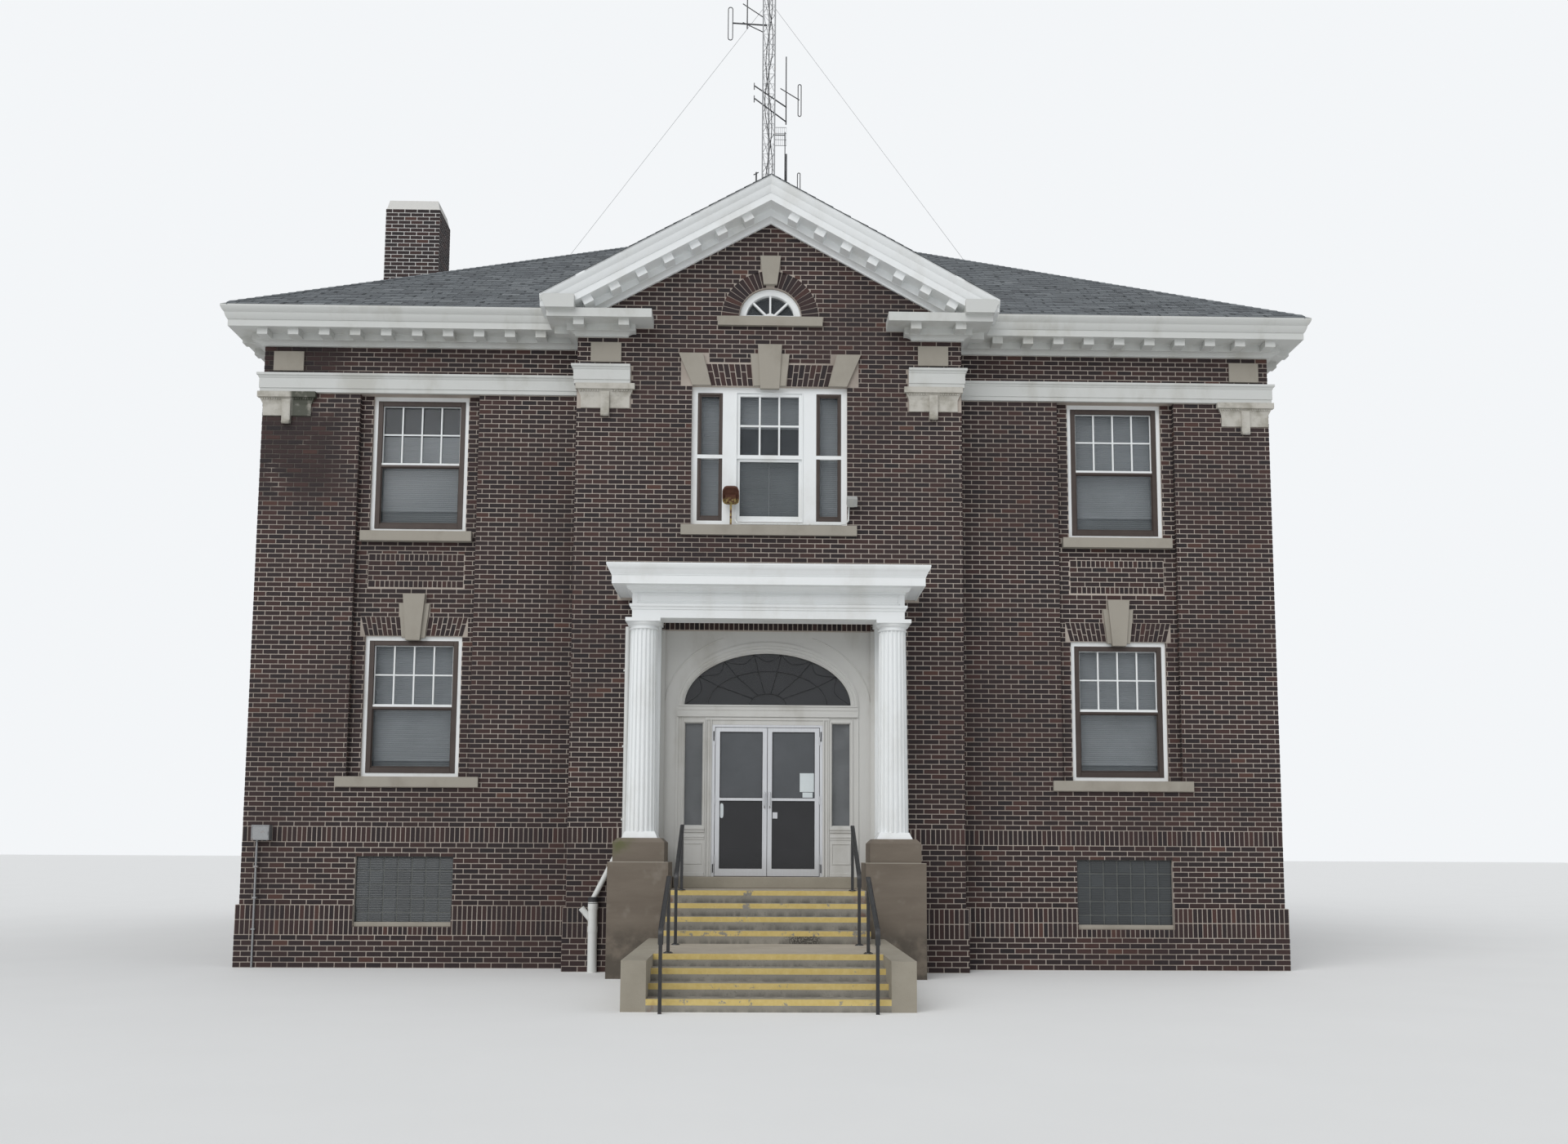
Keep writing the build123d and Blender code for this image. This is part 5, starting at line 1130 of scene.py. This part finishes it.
# Leaded fanlight: dark lead cames, six rays from a half-round hub to the arch, a middle arc, and a hanging
# scallop between each two rays at the rim. Each arc is an ellipse about the middle of the springing line.
spring_z, came_y, came_z = 3.81, bay_y + 0.066, 3.822
hub, arc_line, rim = (0.265, 0.163), (0.862, 0.489), (1.195, 0.742)
ray_angles = np.radians((0.0, 33.5, 58.0, 80.6, 99.4, 122.0, 146.5, 180.0))
boss = [(0.002, -0.012), (0.012, -0.008), (0.012, 0.004), (0.002, 0.006)]


def on_ellipse(t, wide, tall):
    """Points of the fanlight's plane at angles t on an ellipse: x = wide cos t, z = came_z + tall sin t."""
    t = np.asarray(t, float)
    return np.stack([wide * np.cos(t), np.full_like(t, came_y), came_z + tall * np.sin(t)], -1)


cames = [tube(on_ellipse(np.linspace(0, np.pi, 41), *arc_line), 0.0055, 6),
         tube(on_ellipse(np.linspace(0, np.pi, 25), *hub), 0.007, 6)]
for t in ray_angles[1:-1]:
    cames.append(tube([on_ellipse(t, *size) for size in (hub, arc_line, rim)], 0.0055, 6))
    cames += [lathe(boss, on_ellipse(t, *size), (0, 1, 0), sides=8) for size in (hub, arc_line)]
for first, last in zip(ray_angles[:-1], ray_angles[1:]):
    t = np.linspace(first, last, 15)
    inward = 1 - 0.15 * np.sin(np.pi * (t - first) / (last - first))
    cames.append(tube(on_ellipse(t, 1.198 * inward, 0.745 * inward), 0.005, 6))
joined("fanlight_cames", cames, rubber, smooth=True, turned=True)

# Mouldings of the surround, of painted wood: beads around the arch and along the transom, stops around the
# sidelights, stepped ledges and sunk panels under them, and reeded jambs beside the door frame.
mouldings = []
face = bay_y + 0.02
into_wall = face + 0.001
for extra, thick, back, a0, a1 in ((0.045, 0.011, 0.02, 0.0, np.pi), (0.085, 0.008, 0.02, 0.0, np.pi),
                                   (0.275, 0.010, 0.0, 0.06, 1.12),
                                   (0.275, 0.010, 0.0, np.pi - 1.12, np.pi - 0.06)):
    t = np.linspace(a0, a1, 41)
    mouldings.append(tube(np.stack([(1.205 + extra) * np.cos(t), np.full_like(t, face - back),
                                    spring_z + (0.76 + extra * 1.2) * np.sin(t)], -1), thick))
for z, reach in ((3.800, 0.012), (3.745, 0.008), (3.650, 0.012)):
    mouldings.append(board((-1.30, 1.30), (face - 0.02 - reach, face - 0.018), (z - 0.012, z + 0.012)))
mouldings.append(board((-0.90, 0.90), (face - 0.014, into_wall), (3.590, 3.634)))
reeds = [(x0, x1, proud, surround_foot, top) for x0, x1, proud, top in (
    (0.802, 0.822, 0.018, 3.60), (0.826, 0.836, 0.010, 3.60), (0.862, 0.872, 0.010, 3.60),
    (0.876, 0.892, 0.016, 3.60), (1.222, 1.238, 0.014, 3.635), (1.285, 1.320, 0.012, 3.635))]
ledges = [(0.90, 1.225, proud, z0, z1) for proud, z0, z1 in (
    (0.030, 2.010, 2.044), (0.018, 1.975, 2.010), (0.014, 1.900, 1.925), (0.008, 1.870, 1.900),
    (0.010, surround_foot, 1.400))]
for side in (-1, 1):
    for x0, x1, proud, z0, z1 in reeds + ledges:
        mouldings.append(board((side * x0, side * x1), (face - proud, into_wall), (z0, z1)))
    framed = frame_boards(sidelight_half + 0.018, 2.042, 3.578, 0.022, face - 0.010, face + 0.010)
    framed += frame_boards(sidelight_half, 2.060, 3.560, 0.016, face + 0.012, face + 0.040)
    framed += frame_boards(0.135, 1.520, 1.820, 0.014, face - 0.008, into_wall)
    mouldings += moved(framed, side * sidelight_x)
    mouldings.append(board((side * 1.488, side * 1.545), (bay_y - 0.012, bay_y + 0.001),
                           (surround_foot, 4.895)))
joined("surround_mouldings", mouldings, porch_shade_paint, turned=True)

# The door's step: weathered concrete across the doorway, above the porch floor.
# It is cast in one piece between the jambs; the same concrete makes the floors and the cheeks of the steps.


def concrete_look(place):
    """Weathered concrete: sandy grey-brown, clouded and pitted."""
    cloud = place.noise(1.6, 5.0, 0.6)
    pits = place.noise(55, 4.0, 0.7)
    colour = cloud.toward((0.24, 0.215, 0.170), (0.42, 0.385, 0.315))
    colour = (pits.band(0.60, 0.72) * 0.5).toward(colour, (0.14, 0.13, 0.11))
    return colour, 0.92, pits * 0.6 + cloud * 0.4, 0.004


concrete = finish("weathered_concrete", concrete_look)
joined("door_step", [board((-1.334, 1.334), (bay_y - 0.030, bay_y - 0.0005), (1.1805, 1.342), 0.008)],
       concrete)
dress(concrete, "basement_floor", "entrance_floor", "step_cheeks")

# Concrete steps, four risers down to a landing and four more to the walk, with yellow paint on every nosing.
# The paint is worn through in the middle and rusty at its ends; the lowest upper step is broken at the right.


def steps_look(first_y, first_z, tread, riser, wear_x, broken_share):
    """The look of concrete whose nosings carry a yellow band: where z is within 64 mm below its own nosing.

    The nosing nearest a point is number k = round((first_y - y) / tread), at first_z - riser k.
    """
    def look(place):
        cloud = place.noise(1.9, 5.0, 0.62)
        pits = place.noise(48, 5.0, 0.7)
        x, y, z = place.axis("X"), place.axis("Y"), place.axis("Z")
        number = ((first_y - y) / tread).rounded()
        nosing_z = first_z - number * riser
        nosing_y = first_y - number * tread
        wear = place.noise(7.0, 6.0, 0.75)
        middle_wear = (x - wear_x).size().band(0.14, 0.0) * (number < 1.5)
        limit = wear + middle_wear * 0.22 + (number - 1.0) * 0.03
        paint = (z > nosing_z - 0.064) * (y < nosing_y + 0.035) * (1.0 - limit.band(0.62, 0.68))
        colour = cloud.toward((0.17, 0.160, 0.135), (0.39, 0.365, 0.315))
        colour = (pits.band(0.56, 0.70) * 0.55).toward(colour, (0.09, 0.085, 0.07))
        streak = place.stretched(1.0, 1.0, 0.25).noise(9.0, 4.0)
        # Painted shade: each riser darkens further below its nosing, broken into streaks.
        riser_painted_shade = (nosing_z - z).band(0.07, 0.17) * (y - nosing_y).band(0.06, 0.0)
        colour = (riser_painted_shade * streak.band(0.35, 0.62) * 0.75).toward(colour, (0.08, 0.075, 0.065))
        # Painted light: the flat concrete behind the first nosing is lighter, as if lit from the sky.
        landing_painted_light = cloud.toward((0.34, 0.295, 0.235), (0.55, 0.495, 0.415))
        colour = ((y > first_y + 0.05) * 0.85).toward(colour, landing_painted_light)
        broken = (x - 0.46).size().band(0.30, 0.12) * (z < 0.64) * pits.band(0.42, 0.52) * broken_share
        colour = (broken * 0.9).toward(colour, (0.045, 0.040, 0.032))
        yellow = place.noise(16, 4.0).toward((0.56, 0.40, 0.10), (0.74, 0.59, 0.25))
        colour = (paint * 0.93).toward(colour, yellow)
        rust = (x.size() - 1.31).band(-0.30, 0.02) * place.noise(5.0, 4.0).band(0.52, 0.72)
        colour = (rust * 0.7).toward(colour, (0.17, 0.055, 0.02))
        return colour, 0.86, pits * 0.7 + cloud * 0.3, 0.005
    return look


dress(finish("upper_step_concrete", steps_look(-1.6, 1.18, 0.3, 0.16, -0.28, 1.0)), "upper_steps")
dress(finish("lower_step_concrete", steps_look(-4.1, 0.54, 0.3, 0.135, 9.0, 0.0)), "lower_steps")

# Brown sandstone pedestals: tooled faces gone smooth, damp and black low down, with green algae on top of the
# left block. Inside the building the floors are of old boards.


def sandstone_look(place):
    """Brown sandstone with faint beds, lichen blots, black damp at the foot and algae at the left top."""
    bed = place.stretched(0.6, 0.6, 3.0).noise(1.6, 5.0, 0.6)
    grain = place.noise(160, 3.0)
    colour = bed.toward((0.120, 0.097, 0.074), (0.225, 0.190, 0.153))
    blots = place.noise(3.1, 3.0).band(0.58, 0.74)
    colour = (blots * 0.4).toward(colour, (0.30, 0.27, 0.23))
    z, x = place.axis("Z"), place.axis("X")
    foot = z.band(0.80, 0.45) * place.noise(4.0, 4.0).band(0.3, 0.6)
    colour = (foot * 0.7).toward(colour, (0.06, 0.052, 0.042))
    algae = z.band(1.56, 1.80) * x.band(-1.70, -2.05) * place.noise(5.0, 5.0).band(0.35, 0.6)
    colour = (algae * 0.75).toward(colour, (0.10, 0.115, 0.035))
    joint = (z - 1.555).size() < 0.007
    colour = (joint * 0.8).toward(colour, (0.36, 0.33, 0.28))
    return colour, 0.9, grain * 0.4 + bed, 0.004


def boards_look(place):
    """Old floor boards, worn and grey-brown."""
    run = place.stretched(12.0, 0.4, 1.0).noise(3.0, 4.0)
    return run.toward((0.16, 0.11, 0.07), (0.30, 0.22, 0.14)), 0.7, run, 0.002


dress(finish("brown_sandstone", sandstone_look), "pedestal_left", "pedestal_right")
dress(finish("floor_boards", boards_look), "main_floor", "upper_floor", "attic_floor")

# Handrails: black painted steel, with round flanges bolted down at each foot.
# Each flange is a turned plate on the concrete with four hexagonal bolt heads around the post.
rail_x, bolt_ring = 1.148, 0.043
flange = [(0.056, 0.0005), (0.052, 0.010), (0.030, 0.012)]
bolt = [(0.008, 0.009), (0.008, 0.016), (0.007, 0.018)]


def black_look(place):
    """Black gloss paint, brushed on thick, with rust breaking through at the feet."""
    run = place.noise(24, 3.0)
    rust = place.noise(14, 5.0, 0.7).band(0.66, 0.74)
    colour = run.toward((0.010, 0.010, 0.011), (0.030, 0.030, 0.032))
    return (rust * 0.7).toward(colour, (0.12, 0.045, 0.02)), 0.35 + rust * 0.5, run + rust, 0.0008


black_paint = finish("black_gloss_paint", black_look)
dress(black_paint, "handrails")
flanges = []
for side in (-1, 1):
    for y, z in ((-1.56, 1.18), (-2.70, 0.54), (-4.00, 0.54)):
        flanges.append(lathe(flange, (side * rail_x, y, z), sides=20))
        for a in np.pi / 4 + np.pi / 2 * np.arange(4):
            spot = (side * rail_x + bolt_ring * np.cos(a), y + bolt_ring * np.sin(a), z)
            flanges.append(lathe(bolt, spot, sides=6))
joined("rail_flanges", flanges, black_paint, turned=True)

# The lattice mast on the roof, of galvanised steel, with its guys and a cluster of old aerials near its head.
# Its braces are thin bars welded between the legs; the aerials are aluminium tubes gone dark, clamped to it.
mast_plane, mast_foot, mast_top, roof_level = 8.4, 14.94, 21.6, 15.3
aerial_plane = mast_plane - 0.075


def dark_bar_look(place):
    """Weathered aluminium tube gone dark grey."""
    dull = place.noise(9.0, 4.0)
    return dull.toward((0.050, 0.050, 0.052), (0.115, 0.115, 0.12)), 0.6, dull, 0.0003


def zinc_look(place):
    """Weathered zinc with pale spangle and a trace of rust."""
    spangle = place.noise(60, 2.0)
    rust = place.noise(7.0, 5.0).band(0.62, 0.74)
    colour = spangle.toward((0.22, 0.225, 0.23), (0.36, 0.365, 0.37))
    return (rust * 0.5).toward(colour, (0.24, 0.13, 0.08)), 0.5, spangle, 0.0004


dark_bar = finish("dark_aerial_bar", dark_bar_look, metallic=0.3)
zinc = finish("weathered_zinc", zinc_look, metallic=0.6)
dress(zinc, "antenna_mast", "guy_wires", "utility_box")
leg_radius = 0.27 / np.sqrt(3)
legs = [(leg_radius * np.cos(a), mast_plane + leg_radius * np.sin(a)) for a in np.radians((90, 210, 330))]
levels = mast_foot + np.arange(1, 29) * (mast_top - mast_foot) / 28 - 0.02
joined("mast_braces", [tube([(*legs[j], level), (*legs[(j + 1) % 3], level)], 0.0045, 4)
                       for level in levels[levels >= roof_level] for j in range(3)],
       zinc, turned=True)


def aerial_bar(*spots, radius=0.011):
    """A bar of an aerial through spots given as metres right of the mast and height above the walk."""
    return tube([(x, aerial_plane, z) for x, z in spots], radius, 6)


def folded_loop(x, low, high, width=0.05):
    """A folded dipole: a bar bent to a long narrow loop, with round ends."""
    bend = np.linspace(0, np.pi, 7)
    top = [(x + width * np.cos(t), high - width + width * np.sin(t)) for t in bend]
    foot = [(x - width * np.cos(t), low + width - width * np.sin(t)) for t in bend]
    return aerial_bar(*top, *foot, top[0])


aerials = [folded_loop(-0.88, 20.00, 20.79), folded_loop(0.695, 18.20, 18.96, 0.035),
           folded_loop(0.684, 16.1, 16.86, 0.03)]
for radius, bars in ((0.011, ((-0.60, 20.88, -0.13, 20.56), (-0.60, 20.43, -0.13, 20.20),
                              (-0.33, 18.82, -0.33, 18.98), (-0.33, 18.52, -0.33, 18.68),
                              (0.26, 18.86, 0.69, 18.59), (0.37, 16.50, 0.37, 17.82),
                              (0.10, 17.75, 0.37, 17.75), (0.10, 16.45, 0.68, 16.45),
                              (-0.10, 16.60, -0.30, 16.60), (-0.33, 16.80, -0.22, 16.86))),
                     (0.014, ((-0.50, 20.28, -0.50, 21.20), (0.39, 18.00, 0.39, 19.62))),
                     (0.015, ((-0.32, 18.91, 0.40, 18.41), (-0.32, 18.61, 0.40, 18.06))),
                     (0.016, ((-0.83, 20.41, -0.05, 20.37),)),
                     (0.020, ((0.40, 16.60, 0.40, 17.30), (-0.27, 16.40, -0.27, 16.86)))):
    aerials += [aerial_bar(bar[:2], bar[2:], radius=radius) for bar in bars]
joined("aerials", aerials, dark_bar, smooth=True, turned=True)
z = np.linspace(15.0, 21.4, 33)
sway = mast_plane - 0.09 + 0.02 * np.sin(z * 1.3)
cables = [tube(np.stack([reach * np.cos(z * 2.1 + phase), sway, z], -1), 0.010, 5)
          for phase, reach in ((0.0, 0.07), (2.0, 0.09))]
joined("aerial_cables", cables, rubber, smooth=True, turned=True)
grid = [aerial_bar((x, 17.50), (x, 17.93), radius=0.004) for x in np.linspace(0.14, 0.40, 7)]
grid += [aerial_bar((0.14, z), (0.40, z), radius=0.006) for z in (17.50, 17.64, 17.79, 17.93)]
joined("aerial_grid", grid, zinc, turned=True)

# Guys: steel strand from near the head of the mast to the eaves and the gable's ridge.
# They are drawn tight and made fast to the mast's legs and to rings on the roof.
guy_head, guy_foot = 20.88, eave_z + 0.03
guy_ends = ((-1, 0, (-8.09, mast_plane, guy_foot)), (1, 0, (8.09, mast_plane, guy_foot)),
            (0, -1, (0.0, 2.2, 11.56)), (0, 1, (0.0, 17.24, guy_foot)))
guys = [tube([(0.10 * across, mast_plane + 0.10 * along, guy_head), foot], 0.004, 5)
        for across, along, foot in guy_ends]
guy_piece = joined("guys", guys, zinc, smooth=True, turned=True)
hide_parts("guy_wires")

# White pipes: the downspout with its straps, and the plastic drain fitting with its rubber sleeve.
# The straps are bent sheet nailed to the wall; the sleeve is pushed over the drain's end.
drain = (-2.45, -0.606)


def pipe_look(place):
    """White enamel or plastic, yellowed a little, with drips of dirt running down."""
    drip = place.stretched(6.0, 6.0, 0.6).noise(5.0, 4.0)
    return (drip.band(0.5, 0.8) * 0.5).toward((0.70, 0.71, 0.69), (0.42, 0.40, 0.33)), 0.45, drip, 0.001


white_pipe = finish("white_pipe", pipe_look)
dress(white_pipe, "downspout")
strap = [(0.0385, -0.018), (0.0415, -0.016), (0.0415, 0.016), (0.0385, 0.018)]
pipe_bits = []
for z in (2.15, 3.2, 4.3):
    pipe_bits.append(lathe(strap, (-2.03, bay_y - 0.043, z)))
    pipe_bits.append(board((-2.09, -1.97), (bay_y - 0.010, bay_y - 0.004), (z - 0.014, z + 0.014)))
for z, half in ((0.93, 0.05), (0.60, 0.04)):
    pipe_bits.append(lathe([(0.0655, -half), (0.0725, -half), (0.0725, half), (0.0655, half)], (*drain, z),
                           sides=28))
joined("pipe_straps", pipe_bits, white_pipe, turned=True)
sleeve = lathe([(0.060, -0.045), (0.0725, -0.045), (0.0735, -0.038), (0.0715, -0.034), (0.0715, 0.030),
                (0.0735, 0.034), (0.0725, 0.042), (0.045, 0.046)], (*drain, 1.005), sides=28)
joined("drain_sleeve", [sleeve], rubber, smooth=True, turned=True)

# Rusty floodlights on the middle window: a pressed steel hood with a glass face on a knuckle.
# White conduit is clipped along the sill to the smaller lamp at the right.


def rust_look(place):
    """Dark red oxide, with old yellow enamel left at the lower edge; the lamp at the right is still grey."""
    patch = place.noise(19, 5.0, 0.65)
    colour = patch.toward((0.050, 0.018, 0.012), (0.130, 0.046, 0.022))
    pale = place.axis("Z").band(6.86, 6.80) * place.noise(30, 3.0).band(0.4, 0.6)
    colour = (pale * 0.8).toward(colour, (0.42, 0.34, 0.12))
    newer = place.axis("X").band(0.2, 0.4)
    return (newer * 0.9).toward(colour, (0.42, 0.43, 0.42)), 0.85, patch, 0.003


rust = finish("rusty_enamel", rust_look)
dress(rust, "floodlights")
sill_y = bay_y - 0.052
conduit = tube([(x, sill_y + back, z) for x, back, z in (
    (-0.50, 0.02, 6.55), (-0.47, 0, 6.485), (-0.40, 0, 6.474), (1.05, 0, 6.474), (1.12, 0, 6.485),
    (1.165, 0.02, 6.54), (1.175, 0.02, 6.76))], 0.012, 10)
joined("lamp_conduit", [conduit], white_pipe, smooth=True, turned=True)
hoods = []
for x, z, wide, tall in ((-0.56, 6.94, 0.118, 0.130), (1.21, 6.84, 0.052, 0.052)):
    rim_shape = squared_circle(20, 0.5) @ ((wide, 0, 0), (0, -0.6 * tall, 0.8 * tall))
    rings = [(x, bay_y - 0.04 - 0.8 * along, z - 0.6 * along) + grow * rim_shape for along, grow in
             ((-0.02, 0.55), (0.04, 0.95), (0.11, 1.0), (0.125, 1.05), (0.125, 0.92), (0.10, 0.85))]
    hoods.append((np.concatenate(rings), skin(len(rings), 20)))
joined("lamp_hoods", hoods, rust, turned=True)

# The meter box by the left corner: a galvanised door with a raised rim and a hasp, and its conduit's straps.
# The rim is folded from the door's sheet, and the straps are screwed to the wall and to the base.
box = moved(frame_boards(0.128, 1.834, 2.046, 0.012, -0.127, -0.1195), -7.35)
box.append(board((-7.245, -7.232), (-0.136, -0.1195), (1.91, 1.96)))
for z, back in ((0.55, -0.0405), (1.0, -0.001), (1.45, -0.001)):
    box.append(board((-7.445, -7.385), (-0.075, back), (z - 0.012, z + 0.012)))
joined("meter_box_fittings", box, zinc)
